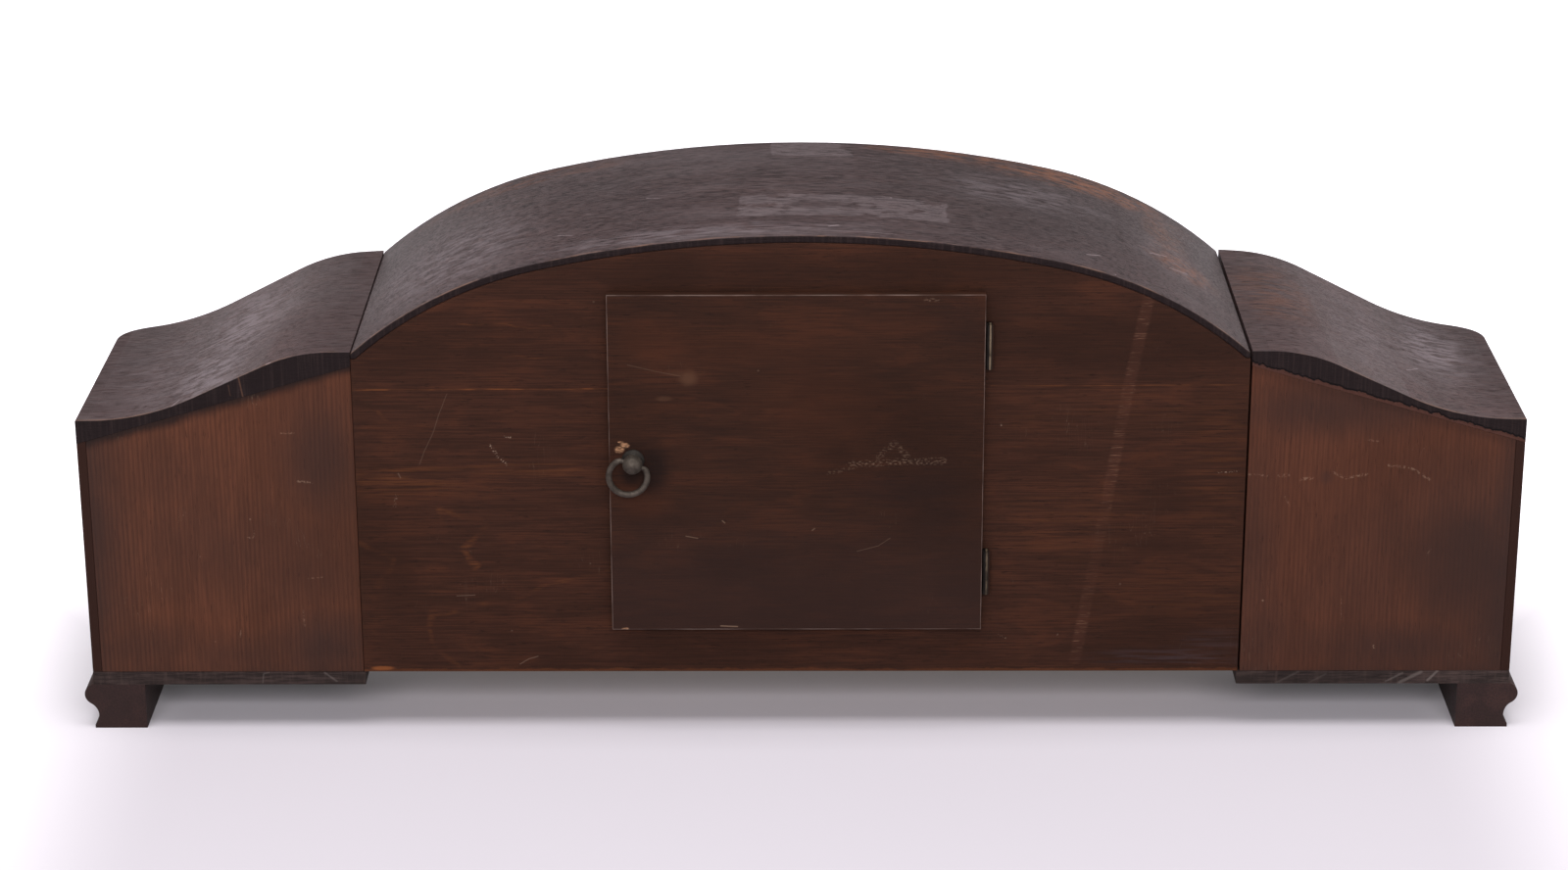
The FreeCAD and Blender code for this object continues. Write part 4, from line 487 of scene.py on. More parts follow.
@dataclass(frozen=True)
class BackBoardFinish(Timber):
    """The back board: a bright glue line, resin veins, a long slanting rub and dark clouds."""

    line: Colour = (0.24, 0.075, 0.022)
    rub: Colour = (0.092, 0.033, 0.021)
    nick: Colour = (0.24, 0.12, 0.075)
    scratch: Colour = (0.30, 0.20, 0.15)
    haze: Colour = (0.05, 0.038, 0.045)
    foot: Place = (0.0, 27.5)
    shades: Marks = (
        Blot((-135, 176), (62, 14), 0.9), Blot((-75, 186), (16, 14), 0.8), Blot((150, 176), (40, 14), 0.4),
        Blot((0, 207), (95, 9), 0.8),
    )
    seams: Marks = (
        Stroke(((188, 155.6), (81, 155.9)), 0.2, 0.4), Stroke(((-80, 157), (-188, 157.3)), 0.2, 0.4, 0.35),
    )
    flames: Marks = (
        Blot((168, 115), (26, 7), 1.0), Blot((-128, 146), (52, 8), 0.3), Blot((-112, 96), (30, 16), 0.5),
        Blot((112, 120), (34, 4), 0.7), Blot((-160, 62), (40, 8), 0.4), Blot((-176, 120), (12, 30), 0.6),
    )
    veins: Marks = (
        Stroke(((152, 103), (141, 99), (134, 95), (136, 90), (143, 84), (142, 79), (139, 75)), 0.6, 1.9),
        Stroke(((80, 75.5), (102, 69), (118, 62.5), (139, 57.5)), 0.4, 1.3, 0.9),
        Stroke(((139, 57.5), (157, 52), (160, 46), (157, 38), (147, 28.5)), 0.4, 1.6, 0.55),
        Stroke(((188, 84), (174, 78), (180, 66)), 0.6, 1.6, 0.45),
        Stroke(((143.5, 185), (118, 183.2), (93.5, 183.4)), 0.2, 0.7, 0.8),
        Stroke(((124, 170), (97, 171.5)), 0.2, 0.7, 0.6),
        Stroke(((177.5, 147.5), (174, 141.5)), 0.5, 0.9, 0.6),
    )
    rubs: Marks = (Stroke(((-145, 198), (-137, 154), (-129, 101), (-123, 65), (-118, 32)), 3.2, 1.6),)
    hairs: Marks = (
        Stroke(((148, 154), (160.5, 122)), 0.1, 0.22, 0.10),
        Stroke(((147, 62), (139, 62.4)), 0.12, 0.2, 0.2),
        Stroke(((113, 34), (117, 32.6), (121, 30)), 0.12, 0.25, 0.2),
        Stroke(((170, 118), (169, 116)), 0.2, 0.3, 0.16),
    )
    specks: Marks = (
        Stroke(((130.5, 130.5), (127.5, 125.5)), 0.5, 0.7, 0.6),
        Stroke(((126, 124.5), (124, 122)), 0.5, 0.6, 0.6),
        Stroke(((124.5, 134.5), (122, 134.2)), 0.3, 0.5, 0.6),
        Stroke(((172, 103), (171, 108)), 0.4, 0.7, 0.35),
        Stroke(((-176, 118), (-184, 118.5)), 0.2, 0.3, 0.5), Stroke(((-84, 44), (-88, 42)), 0.25, 0.3, 0.6),
        Stroke(((-84.6, 139.4), (-84, 140.2)), 0.3, 0.4, 0.8),
        Stroke(((-110, 44), (-110.6, 42.6)), 0.2, 0.4, 0.6),
    )
    blooms: Marks = (Blot((-160, 33), (30, 4), 1.0), Blot((-178, 40), (12, 5), 0.6))
    chips: Marks = (Blot((180, 28.2), (4.5, 0.9), 1.0, 0.4),)

    def mark(self, g: Graph) -> None:
        """Lay the board's marks.

        Args:
            g: The material's graph.
        """
        stray = g.swing(g.cells(160.0, 3.0, 0.6), 3.0 * MM)
        # Darker clouds, most of them high up the board
        g.lay(toned(self.dark, 0.62), g.marks(self.shades, stray=g.times(stray, 90.0)), 0.6)

        # Glue line across the board, and reddened fibres here and there below it
        breaks = g.patches((70.0, 70.0, 400.0), 0.40, 0.58, 0.15, detail=2.0)
        g.lay(self.line, g.marks(self.seams, stray=g.times(stray, 0.08)), breaks, 0.4)
        long_grain = g.cells((34.0, 34.0, 900.0), 4.0, 0.65)
        flame = g.marks(self.flames, stray=g.times(stray, 60.0))
        g.lay(self.line, flame, g.ramp(long_grain, 0.44, 0.66), 0.15)

        # Resin veins that wander through the grain on the side away from the hinges
        fade = g.patches(60.0, 0.36, 0.6, 0.15, detail=2.0)
        threads = g.patches((110.0, 110.0, 1600.0), 0.42, 0.6, 0.1, rough=0.6)
        g.lay(self.line, g.marks(self.veins, warp=6.0 * MM), fade, threads, 0.19)

        # Long slanting rub with short level nicks in it
        rub = g.times(g.marks(self.rubs), g.patches((30.0, 30.0, 45.0), 0.38, 0.6, 0.3))
        g.lay(self.rub, rub, 0.13)
        g.lay(self.nick, rub, g.patches((140.0, 140.0, 2600.0), 0.56, 0.70, detail=2.0), 0.38)
        g.height = g.minus(g.height, g.times(rub, 0.25))

        # Hairline scratches, specks and a bluish bloom low down
        speck = g.times(g.marks(self.specks), g.patches(1300.0, 0.52, 0.66, detail=1.0))
        g.lay(self.scratch, g.either(g.marks(self.hairs, warp=1.5 * MM), speck))
        bloom = g.marks(self.blooms, stray=g.times(stray, 120.0))
        g.lay(self.haze, bloom, g.ramp(long_grain, 0.42, 0.6), 0.3)
        self.dust(g, self.scratch, 0.2)
        g.lay(self.line, g.marks(self.chips, stray=g.times(stray, 200.0)), 0.5)
        g.lay(self.line, g.slab(Axis.Z, *self.foot, 0.6, stray), 0.12)


@dataclass(frozen=True)
class DoorFinish(Timber):
    """The back door: pale arrises, partly rubbed and partly painted highlight, painted shadow and grime
    round the pull, a bruise, a chip beside the pull, scuffs and a lower bloom.
    """

    # Pale edge colour: rubbed wear and painted highlight
    arris: Colour = (0.15, 0.105, 0.09)
    bruise: Colour = (0.16, 0.08, 0.045)
    bare: Colour = (0.30, 0.155, 0.085)
    scuff: Colour = (0.25, 0.16, 0.11)
    bloom: Colour = (0.0225, 0.0108, 0.0088)
    sides: Place = (-77.0, 80.4)
    ends: Place = (48.0, 198.5)
    face_planes: Place = (73.2, 73.9)
    bloom_heights: Place = (118.0, 60.0)
    arris_band: Place = (0.38, 0.12)
    clouds: Marks = (
        Blot((-44, 112), (24, 7), 0.8), Blot((30, 78), (22, 8), 0.5), Blot((-58, 108), (14, 16), 0.5),
        Blot((-66, 186), (10, 9), 0.6),
    )
    glows: Marks = (
        Blot((60, 178), (16, 9), 0.7), Blot((-5, 150), (26, 18), 0.5), Blot((66, 106), (11, 6), 0.8),
        Blot((20, 176), (50, 8), 0.5), Blot((-30, 185), (36, 6), 0.4), Blot((73, 113), (6, 3), 0.9),
    )
    # Painted shadow that the knob and ring cast on the door, mixed with grime round the pull
    grimes: Marks = (
        Blot((62.5, 121), (7, 10), 1.0), Blot((71, 118.5), (5, 4), 1.0), Blot((69, 131), (7, 3), 0.5),
    )
    bruises: Marks = (
        Blot((46.8, 162), (3.4, 3.0), 0.8), Blot((49, 164), (6.5, 1.4), 0.3),
        Blot((57, 153), (3.0, 1.0), 0.5),
    )
    chips: Marks = (
        Blot((76.0, 130.2), (1.9, 1.5), 1.0, 0.3), Blot((73.6, 132.2), (1.9, 1.1), 1.0, 0.3),
        Blot((75.4, 133.6), (1.3, 0.4), 0.9, 0.3), Blot((75.0, 48.4), (1.4, 0.5), 0.8, 0.3),
    )
    scuffs: Marks = (
        Stroke(((-21, 123.6), (-44, 124.6), (-60, 125.0)), 1.6, 1.3, 0.9),
        Stroke(((-33, 127), (-39.6, 133), (-46, 126)), 1.3, 1.2, 0.65),
        Stroke(((-22, 122), (-12, 119.5)), 0.8, 0.9, 0.5),
        Stroke(((-52, 196.4), (-57, 196.2)), 0.9, 0.6, 0.9),
    )
    hairs: Marks = (
        Stroke(((72, 168), (60, 165), (50, 163)), 0.1, 0.3, 0.09),
        Stroke(((48.5, 91), (43.5, 90)), 0.1, 0.25, 0.3),
        Stroke(((-24, 84), (-33, 86.5), (-38, 90)), 0.06, 0.16, 0.2),
        Stroke(((34, 49.6), (27, 49.3)), 0.25, 0.3, 0.4), Stroke(((-5, 93.6), (-6, 94.4)), 0.2, 0.3, 0.25),
        Stroke(((33, 98), (32, 97)), 0.2, 0.3, 0.3),
    )

    def mark(self, g: Graph) -> None:
        """Lay the door's marks.

        Args:
            g: The material's graph.
        """
        face = g.step(g.xyz[1], self.face_planes)
        stray = g.swing(g.cells(150.0, 3.0, 0.6), 3.0 * MM)
        wide = g.times(stray, 100.0)
        level = g.plus(g.xyz[2], g.times(stray, 9.0))
        g.lay(self.bloom, g.step(level, self.bloom_heights), 0.6)
        g.lay(toned(self.bloom, 0.6), g.marks(self.clouds, stray=wide), 0.6)
        g.lay(self.warm, g.marks(self.glows, stray=wide), 0.4)
        # Painted shadow of the knob and ring, with grime round the pull, on the outer face only
        g.lay(toned(self.bloom, 0.3), g.marks(self.grimes, stray=g.times(stray, 60.0)), face, 0.8)

        # Bruise and the scratch that runs into it, and bare wood beside the pull
        g.lay(self.bruise, g.marks(self.bruises, stray=g.times(stray, 260.0)), face, 0.24)
        chip = g.times(g.marks(self.chips, stray=g.times(stray, 330.0)), face)
        g.lay(toned(self.bare, 0.45), chip, 0.8)
        g.lay(self.bare, chip, g.patches((500.0, 500.0, 1500.0), 0.46, 0.6, turn=(0.0, 0.7, 0.0)))
        g.height = g.minus(g.height, g.times(chip, 1.5))

        # Scuffs and hairlines
        speckle = g.patches((700.0, 700.0, 1500.0), 0.5, 0.62, detail=2.0)
        g.lay(self.scuff, g.marks(self.scuffs, stray=g.times(stray, 0.15)), speckle, face, 0.26)
        g.lay(self.scuff, g.marks(self.hairs), face)
        self.dust(g, self.scuff, 0.2)

        # Pale band round the panel's outer face: partly rubbed wear, partly a painted highlight for the
        # light on a rounded edge, as the door has no bevel
        inset = []
        for axis, (low, high) in zip(BACK, (self.sides, self.ends)):
            away = g.calc("ABSOLUTE", g.minus(g.xyz[axis.value], (low + high) / 2 * MM))
            inset.append(g.minus((high - low) / 2 * MM, away))
        worn = g.step(g.plus(g.calc("MINIMUM", *inset), g.times(stray, 0.10)), self.arris_band)
        g.lay(self.arris, worn, g.patches(40.0, 0.36, 0.62, 0.15, 0.8), face)


@dataclass(frozen=True)
class ShoulderFinish(Timber):
    """The shoulder backs: close upright growth lines, dark smudges towards the rims, small knocks."""

    line_pitch: float = 1.95
    line_share: float = 0.6
    smudge_share: float = 0.7
    # How dark the band just under the cap is
    stain: float = 0.3
    smudges: Marks = ()
    knocks: Marks = ()
    scratch: Colour = (0.33, 0.22, 0.15)
    rim: Colour = (0.020, 0.012, 0.011)
    outer: float = 301.0
    end_dirt: Place = (9.0, -2.0)
    foot_dirt: Place = (33.0, 24.0)
    cap_dirt: Place = (-5.5, -0.3)

    def mark(self, g: Graph) -> None:
        """Lay the growth lines, smudges and knocks.

        Args:
            g: The material's graph.
        """
        shift = (self.shift,) * 3
        sway = g.swing(g.cells((9.0, 9.0, 4.0), 1.0, shift=shift), 5.0 * MM)
        jitter = g.swing(g.cells((210.0, 210.0, 7.0), 2.0, shift=shift), 1.9 * MM)
        wave = g.times(g.plus(g.xyz[0], sway, jitter), 2 * math.pi / (self.line_pitch * MM))
        uneven = g.patches((70.0, 70.0, 6.0), 0.3, 0.55, 0.45, detail=2.0, shift=shift)
        lines = g.times(g.ramp(g.calc("SINE", wave), -0.3, 0.8), uneven)
        g.lay(toned(self.dark, 0.72), lines, self.line_share)
        g.height = g.minus(g.height, g.times(lines, 0.35))
        stray = g.swing(g.cells(60.0, 4.0, 0.6), 1.0)
        ragged = g.swing(g.cells((26.0, 26.0, 20.0), 5.0, 0.62, shift=shift), 1.0)
        smudge = g.marks(self.smudges, stray=g.plus(ragged, g.times(stray, 0.5)))
        g.lay(self.rim, smudge, self.smudge_share)

        # Darker along the foot, towards the outer end and just under the cap
        edge_wander = g.times(stray, 9.0 * MM)
        end = g.plus(g.minus(self.outer * MM, g.calc("ABSOLUTE", g.xyz[0])), edge_wander)
        foot = g.plus(g.xyz[2], edge_wander)
        g.lay(self.rim, g.either(g.step(end, self.end_dirt), g.step(foot, self.foot_dirt)), 0.4)
        under = g.plus(above_joint(g), g.times(stray, 5.0 * MM))
        g.lay(toned(self.rim, 0.5), g.step(under, self.cap_dirt), self.stain)
        knock = g.marks(self.knocks, stray=g.times(g.calc("ABSOLUTE", stray), 0.6 * MM))
        g.lay(self.scratch, knock, g.patches(800.0, 0.44, 0.62, detail=2.0), 0.34)
        self.dust(g, self.scratch, 0.3)


@dataclass(frozen=True)
class TopFinish(Timber):
    """Worn polished tops: open pores, paler patches of rubbed wear and painted sheen, painted shade on the
    caps, rectangles left by old paper, rubbed edges.
    """

    sheen_tint: Colour = (1.0, 0.84, 0.90)
    pale: Colour = (0.135, 0.108, 0.113)
    worn: Colour = (0.16, 0.06, 0.028)
    end: Colour = (0.0075, 0.0048, 0.0048)
    end_line: Colour = (0.0165, 0.0105, 0.0100)
    arris: Colour = (0.15, 0.080, 0.052)
    bare: Colour = (0.065, 0.032, 0.021)
    chalk: Colour = (0.23, 0.19, 0.205)
    gap: Colour = (0.002, 0.0015, 0.0015)
    lost: Colour = (0.06, 0.024, 0.017)
    papers: tuple[tuple[Place, Place], ...] = ()
    # Paler patches: rubbed wear, and on the caps painted sheen
    rubs: Marks = ()
    reds: Marks = ()
    holes: Marks = ()
    # Darker patches; on the caps, painted shade where the sheen falls off
    shades: Marks = ()
    scratches: Marks = ()
    end_marks: Marks = ()
    pore_share: float = 0.75
    crack: bool = False
    crack_drop: float = 6.5
    gap_edge: Place = (0.75, 0.35)
    lost_edge: Place = (0.0, -0.3)
    back_planes: Place = (69.3, 69.7)
    arris_planes: Place = (68.2, 69.55)
    end_gloss: float = 0.1

    def mark(self, g: Graph) -> None:
        """Lay wear on the polished top and dark end grain on its back edge.

        Args:
            g: The material's graph.
        """
        shift = (self.shift,) * 3
        stray = g.swing(g.cells(120.0, 4.0, 0.65), 1.0)
        dash = g.cells((170.0, 1250.0, 1250.0), 2.0, 0.5, shift=shift)
        streak = g.cells((36.0, 520.0, 520.0), 3.0, 0.6, shift=shift)
        pore = g.either(g.ramp(dash, 0.47, 0.38), g.ramp(streak, 0.43, 0.33, 0.0, 0.8))
        g.lay(self.end, pore, self.pore_share)
        g.lay(self.warm, g.ramp(streak, 0.54, 0.7, 0.0, 0.4))
        g.lay(self.pale, g.ramp(dash, 0.55, 0.68, 0.0, 0.24))
        sheen = g.cells((11.0, 30.0, 30.0), 4.0, 0.6, 0.5, shift=shift)
        g.lay(self.pale, g.ramp(sheen, 0.48, 0.75, 0.0, 0.22))
        # Painted shade: darker bands where the caps' sheen falls off at the crest and the outer end, and a
        # darker patch on the arch
        g.lay(toned(self.dark, 0.4), g.marks(self.shades, TOP, g.times(stray, 0.5)), 0.6)
        # Paler patches of rubbed wear and painted sheen; on the caps they stand for the sheen on the curved
        # tops
        rub = g.marks(self.rubs, TOP, g.times(stray, 0.9))
        rub = g.times(rub, g.patches((60.0, 300.0, 300.0), 0.38, 0.62))
        g.lay(self.chalk, rub, 0.6)
        g.rough = g.plus(g.rough, g.times(rub, 0.12))
        self.lay_papers(g, stray, pore)
        red = g.marks(self.reds, TOP, g.times(stray, 1.1))
        g.lay(self.worn, red, g.patches((50.0, 420.0, 420.0), 0.4, 0.6), 0.9)
        glint = toned(self.pale, 2.6)
        g.lay(glint, g.marks(self.scratches, TOP, g.times(g.calc("ABSOLUTE", stray), 0.8 * MM)), 0.7)
        self.dust(g, glint, 0.5)
        back = g.step(g.xyz[1], self.back_planes)
        self.lay_edge(g, back)
        if self.crack:
            self.lay_crack(g, back)
        g.height = g.minus(g.height, g.times(pore, 0.7))
        dull = g.either(back, g.times(pore, 0.7))
        g.gloss = g.calc("MULTIPLY_ADD", dull, self.end_gloss - self.gloss, self.gloss)

    def lay_papers(self, g: Graph, stray: Value, pore: Value) -> None:
        """Lay pale rectangles with ragged sides and torn patches, thinner over the pores.

        Args:
            g: The material's graph.
            stray: Noise about zero.
            pore: Mask of the open pores.
        """
        ragged = g.times(stray, 7.0 * MM)
        for (x0, y0), (x1, y1) in self.papers:
            sides = g.times(g.slab(Axis.X, x0, x1, 0.8, ragged), g.slab(Axis.Y, y0, y1, 0.8, ragged))
            whole = g.patches((60.0, 90.0, 90.0), 0.60, 0.52, detail=5.0, rough=0.7)
            hole = g.marks(self.holes, TOP, g.times(stray, 2.2))
            sheet = g.times(sides, whole, g.minus(1.0, hole))
            g.lay(self.pale, sheet, g.calc("MULTIPLY_ADD", pore, -0.2, 0.38))
            g.rough = g.plus(g.rough, g.times(sheet, 0.10))

    def lay_edge(self, g: Graph, back: Value) -> None:
        """Lay nearly black end grain with fine upright lines, and a rubbed upper arris.

        Args:
            g: The material's graph.
            back: Mask of the back edge.
        """
        upright = g.patches((950.0, 40.0, 30.0), 0.46, 0.7, rough=0.6)
        g.lay(g.blend(upright, self.end, self.end_line), back)
        shift = (self.shift,) * 3
        handled = g.patches((55.0, 300.0, 55.0), 0.44, 0.62, detail=4.0, rough=0.65, shift=shift)
        g.lay(self.arris, g.slab(Axis.Y, *self.arris_planes, 0.25), handled, 0.6)
        g.lay(self.bare, g.marks(self.end_marks, warp=0.8 * MM), back)
        g.rough = g.plus(g.rough, g.times(back, 0.15))

    def lay_crack(self, g: Graph, back: Value) -> None:
        """Lay a stepped black gap along the joint under the cap, with bare wood below it.

        Args:
            g: The material's graph.
            back: Mask of the back edge.
        """
        steps = g.cells((130.0, 0.0, 0.0), 3.0, 0.7)
        over = g.minus(above_joint(g), g.times(g.minus(steps, 0.25), self.crack_drop * MM))
        gap = g.times(g.step(g.calc("ABSOLUTE", over), self.gap_edge), back)
        g.lay(self.gap, gap)
        g.lay(self.lost, g.step(over, self.lost_edge), back, 0.8)
        g.height = g.minus(g.height, g.times(gap, 4.0))


@dataclass(frozen=True)
class VeneerFinish(Timber):
    """Polished front veneer, whose unpolished edge at the back is nearly black."""

    end: Colour = (0.022, 0.0095, 0.0070)
    back_planes: Place = (69.4, 69.7)
    end_gloss: float = 0.05

    def mark(self, g: Graph) -> None:
        """Lay the veneer's figure and its dark back edge.

        Args:
            g: The material's graph.
        """
        figure = g.cells((26.0, 26.0, 9.0), 4.0, 0.6, 1.6, turn=(0.0, 0.25, 0.0))
        g.lay(self.dark, g.ramp(g.calc("SINE", g.times(figure, 46.0)), 0.2, 0.95, 0.0, 0.4))
        back = g.step(g.xyz[1], self.back_planes)
        g.lay(self.end, back)
        self.dust(g, toned(self.middle, 3.2), 0.4)
        g.rough = g.calc("MULTIPLY_ADD", back, 0.25, g.rough)
        g.gloss = g.calc("MULTIPLY_ADD", back, self.end_gloss - self.gloss, self.gloss)


@dataclass(frozen=True)
class PlankFinish(Timber):
    """Rough base planks: slanting saw marks, with pale scratches towards one foot."""

    pale: Colour = (0.14, 0.115, 0.105)
    scratches: Marks = ()

    def mark(self, g: Graph) -> None:
        """Lay the saw marks and scratches.

        Args:
            g: The material's graph.
        """
        saw = g.cells((520.0, 60.0, 60.0), 2.0, 0.6, turn=(0.0, 0.9, 0.0))
        g.lay(self.warm, g.ramp(saw, 0.5, 0.75, 0.0, 0.3))
        g.lay(self.dark, g.ramp(saw, 0.42, 0.3, 0.0, 0.5))
        g.lay(self.pale, g.marks(self.scratches, stray=g.swing(g.cells(500.0, 2.0), 0.5 * MM)))
        self.dust(g, self.pale, 0.4)
        g.height = g.plus(g.height, g.times(saw, 0.8))


@dataclass(frozen=True)
class Metal:
    """Worked metal with brushed lines, tarnish clouds and darkened pits."""

    name: str
    bright: Colour
    dull: Colour
    brushed: Axis = Axis.X
    roughness: float = 0.32
    tarnish: float = 0.5
    cloud_size: float = 9.0
    metallic: float = 1.0
    pit_depth: float = 0.03
    brush_scale: Place = (35.0, 900.0)
    pit_scale: float = 620.0
    dark_below: Place | None = None

    def make(self) -> bpy.types.Material:
        """The metal finish.

        Returns:
            The material.
        """
        g = Graph(self.name)
        along, across = self.brush_scale
        lines = g.cells(tuple(along if axis is self.brushed else across for axis in Axis), 3.0, 0.6)
        cloud = g.cells(1 / (self.cloud_size * MM), 4.0, 0.6, 0.4)
        pits = g.node("ShaderNodeTexVoronoi", Vector=g.place, Scale=self.pit_scale)
        pit = g.ramp(pits.outputs["Distance"], 0.22, 0.06)
        g.colour = g.blend(g.ramp(cloud, 0.40, 0.68, 0.0, self.tarnish), self.bright, self.dull)
        g.lay(self.dull, g.ramp(lines, 0.5, 0.75, 0.0, 0.25))
        g.lay(toned(self.dull, 0.4), pit, 0.4)
        if self.dark_below is not None:
            g.lay(toned(self.dull, 0.2), g.step(g.xyz[1], self.dark_below, 0.0, 0.8))
        g.rough = g.plus(self.roughness, g.swing(g.plus(cloud, lines), 0.25))
        g.height = g.minus(g.times(lines, 0.4), g.times(pit, 0.6))
        return g.finish(self.pit_depth, Metallic=self.metallic)


@dataclass(frozen=True)
class HingeFinish:
    """Near-black hinge, whose black also stands for the shade in the slit beside the door, with a painted
    highlight in a thin pale band along the outer side of its knuckles.
    """

    name: str = "hinge_plate"
    black: Colour = (0.006, 0.0045, 0.004)
    # Colour of the painted highlight band on the knuckles
    bare: Colour = (0.135, 0.098, 0.066)
    stained: Colour = (0.019, 0.0085, 0.0055)
    strip: Place = (-79.3, -78.8)
    stain_edge: Place = (-79.6, -80.0)

    def make(self) -> bpy.types.Material:
        """The hinge metal.

        Returns:
            The material.
        """
        g = Graph(self.name)
        grime = g.cells((500.0, 500.0, 120.0), 4.0, 0.65)
        # Near-black base, which also stands for the shade in the slit beside the door
        g.colour = g.blend(g.ramp(grime, 0.4, 0.7, 0.0, 0.5), self.black, toned(self.black, 3))
        g.lay(self.stained, g.step(g.xyz[0], self.stain_edge))
        # Painted highlight: a thin pale band along the outer side of the knuckles, in the colour named bare
        g.lay(self.bare, g.slab(Axis.X, *self.strip, 0.25), g.ramp(grime, 0.36, 0.6, 0.15, 0.9))
        g.rough = g.ramp(grime, 0.3, 0.7, 0.45, 0.7)
        g.height = grime
        return g.finish(0.03, Specular_IOR_Level=0.06)


@dataclass(frozen=True)
class DialFinish:
    """Cream enamel, slightly yellowed towards the rim, with fine crazing and a soft sheen."""

    name: str = "dial_enamel"
    cream: Colour = (0.78, 0.71, 0.55)
    yellowed: Colour = (0.60, 0.47, 0.27)
    crazed: Colour = (0.30, 0.22, 0.13)
    foxed: Colour = (0.36, 0.21, 0.09)
    centre_height: float = 124.5
    aged_radii: Place = (45.0, 78.0)
    craze_scale: float = 150.0

    def make(self) -> bpy.types.Material:
        """The dial's enamel.

        Returns:
            The material.
        """
        g = Graph(self.name)
        rise = g.minus(g.xyz[2], self.centre_height * MM)
        radius = g.calc("SQRT", g.calc("MULTIPLY_ADD", rise, rise, g.times(g.xyz[0], g.xyz[0])))
        cloud = g.cells(45.0, 4.0, 0.6)
        aged = g.plus(g.step(radius, self.aged_radii), g.swing(cloud, 0.9))
        g.colour = g.blend(g.ramp(aged, 0.1, 1.3, 0.0, 0.8), self.cream, self.yellowed)
        edges = g.node("ShaderNodeTexVoronoi", {"feature": "DISTANCE_TO_EDGE"}, Vector=g.place,
                       Scale=self.craze_scale)
        craze = g.ramp(edges.outputs["Distance"], 0.02, 0.004)
        g.lay(self.crazed, craze, g.ramp(cloud, 0.5, 0.7, 0.0, 0.35))
        g.lay(self.foxed, g.patches(190.0, 0.68, 0.76, 0.0, 0.4))
        g.rough = g.plus(0.34, g.swing(cloud, 0.2))
        g.height = g.times(craze, -1.0)
        return g.finish(0.02)


@dataclass(frozen=True)
class GlassFinish:
    """Clear domed glass with faint smears."""

    name: str = "domed_glass"
    clear: Colour = (0.97, 0.985, 0.98)
    smeared: Colour = (0.90, 0.93, 0.92)

    def make(self) -> bpy.types.Material:
        """The glass.

        Returns:
            The material.
        """
        g = Graph(self.name)
        smear = g.cells((30.0, 30.0, 90.0), 4.0, 0.6, 0.8, turn=(0.0, 0.5, 0.0))
        g.colour = g.blend(g.ramp(smear, 0.45, 0.8, 0.0, 0.3), self.clear, self.smeared)
        g.rough = g.ramp(smear, 0.5, 0.8, 0.015, 0.09)
        return g.finish(Transmission_Weight=1.0, IOR=1.45)


@dataclass(frozen=True)
class Lacquer:
    """Black lacquer on thin metal, rubbed a little in patches."""

    name: str
    colour: Colour = (0.012, 0.012, 0.014)
    rubbed: Colour = (0.06, 0.055, 0.05)

    def make(self) -> bpy.types.Material:
        """The lacquer.

        Returns:
            The material.
        """
        g = Graph(self.name)
        g.height = g.cells(260.0, 4.0, 0.6)
        g.colour = g.blend(g.ramp(g.height, 0.55, 0.75, 0.0, 0.6), self.colour, self.rubbed)
        g.rough = g.ramp(g.height, 0.3, 0.7, 0.22, 0.42)
        return g.finish(0.01)


# Surfaces worked out on grids

def grid_faces(rows: int, columns: int, wrap_rows: bool = False) -> np.ndarray:
    """Corner numbers of the quads of a grid of points, whose last column joins the first.

    Args:
        rows: Points along the first parameter.
        columns: Points round the second.
        wrap_rows: Whether the last row joins the first.
    Returns:
        An array of quads.
    """
    i = np.arange(rows if wrap_rows else rows - 1)[:, None]
    j = np.arange(columns)[None, :]
    here, onward = i * columns, ((i + 1) % rows) * columns
    beside = (j + 1) % columns
    return np.stack([here + j, here + beside, onward + beside, onward + j], axis=-1).reshape(-1, 4)


def tidy_mesh(mesh: bpy.types.Mesh) -> None:
    """Merge a mesh's doubles and turn its faces outwards.

    Args:
        mesh: The mesh.
    """
    work = bmesh.new()
    work.from_mesh(mesh)
    bmesh.ops.remove_doubles(work, verts=work.verts, dist=MERGE_DISTANCE)
    bmesh.ops.recalc_face_normals(work, faces=work.faces)
    work.to_mesh(mesh)
    work.free()


def mesh_object(name: str, points: np.ndarray, faces: Sequence[Sequence[int]],
                smooth: bool = True) -> bpy.types.Object:
    """Put points and faces into a new mesh, merge its doubles and turn its faces outwards.

    Args:
        name: The object's name.
        points: Points in metres, n by 3.
        faces: Corner numbers.
        smooth: Whether its faces are shaded smooth.
    Returns:
        The object, at the origin.
    """
    mesh = bpy.data.meshes.new(name)
    mesh.from_pydata(points.reshape(-1, 3).tolist(), [], [list(map(int, f)) for f in faces])
    made = bpy.data.objects.new(name, mesh)
    bpy.context.scene.collection.objects.link(made)
    tidy_mesh(mesh)
    mesh.polygons.foreach_set("use_smooth", [smooth] * len(mesh.polygons))
    mesh.update()
    return made


def fit(made: bpy.types.Object, material: bpy.types.Material, body: str, slot: str, *replaced: str) -> None:
    """Give a new piece its material and body, and hide the CAD nodes that it replaces.

    Args:
        made: The piece.
        material: Its material.
        body: The body that it rides on.
        slot: Not used.
        *replaced: Nodes that it replaces.
    """
    made.data.materials.append(material)
    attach(made, body)
    if replaced:
        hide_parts(*replaced)
    LOG.info("%s rides on %s", made.name, body)


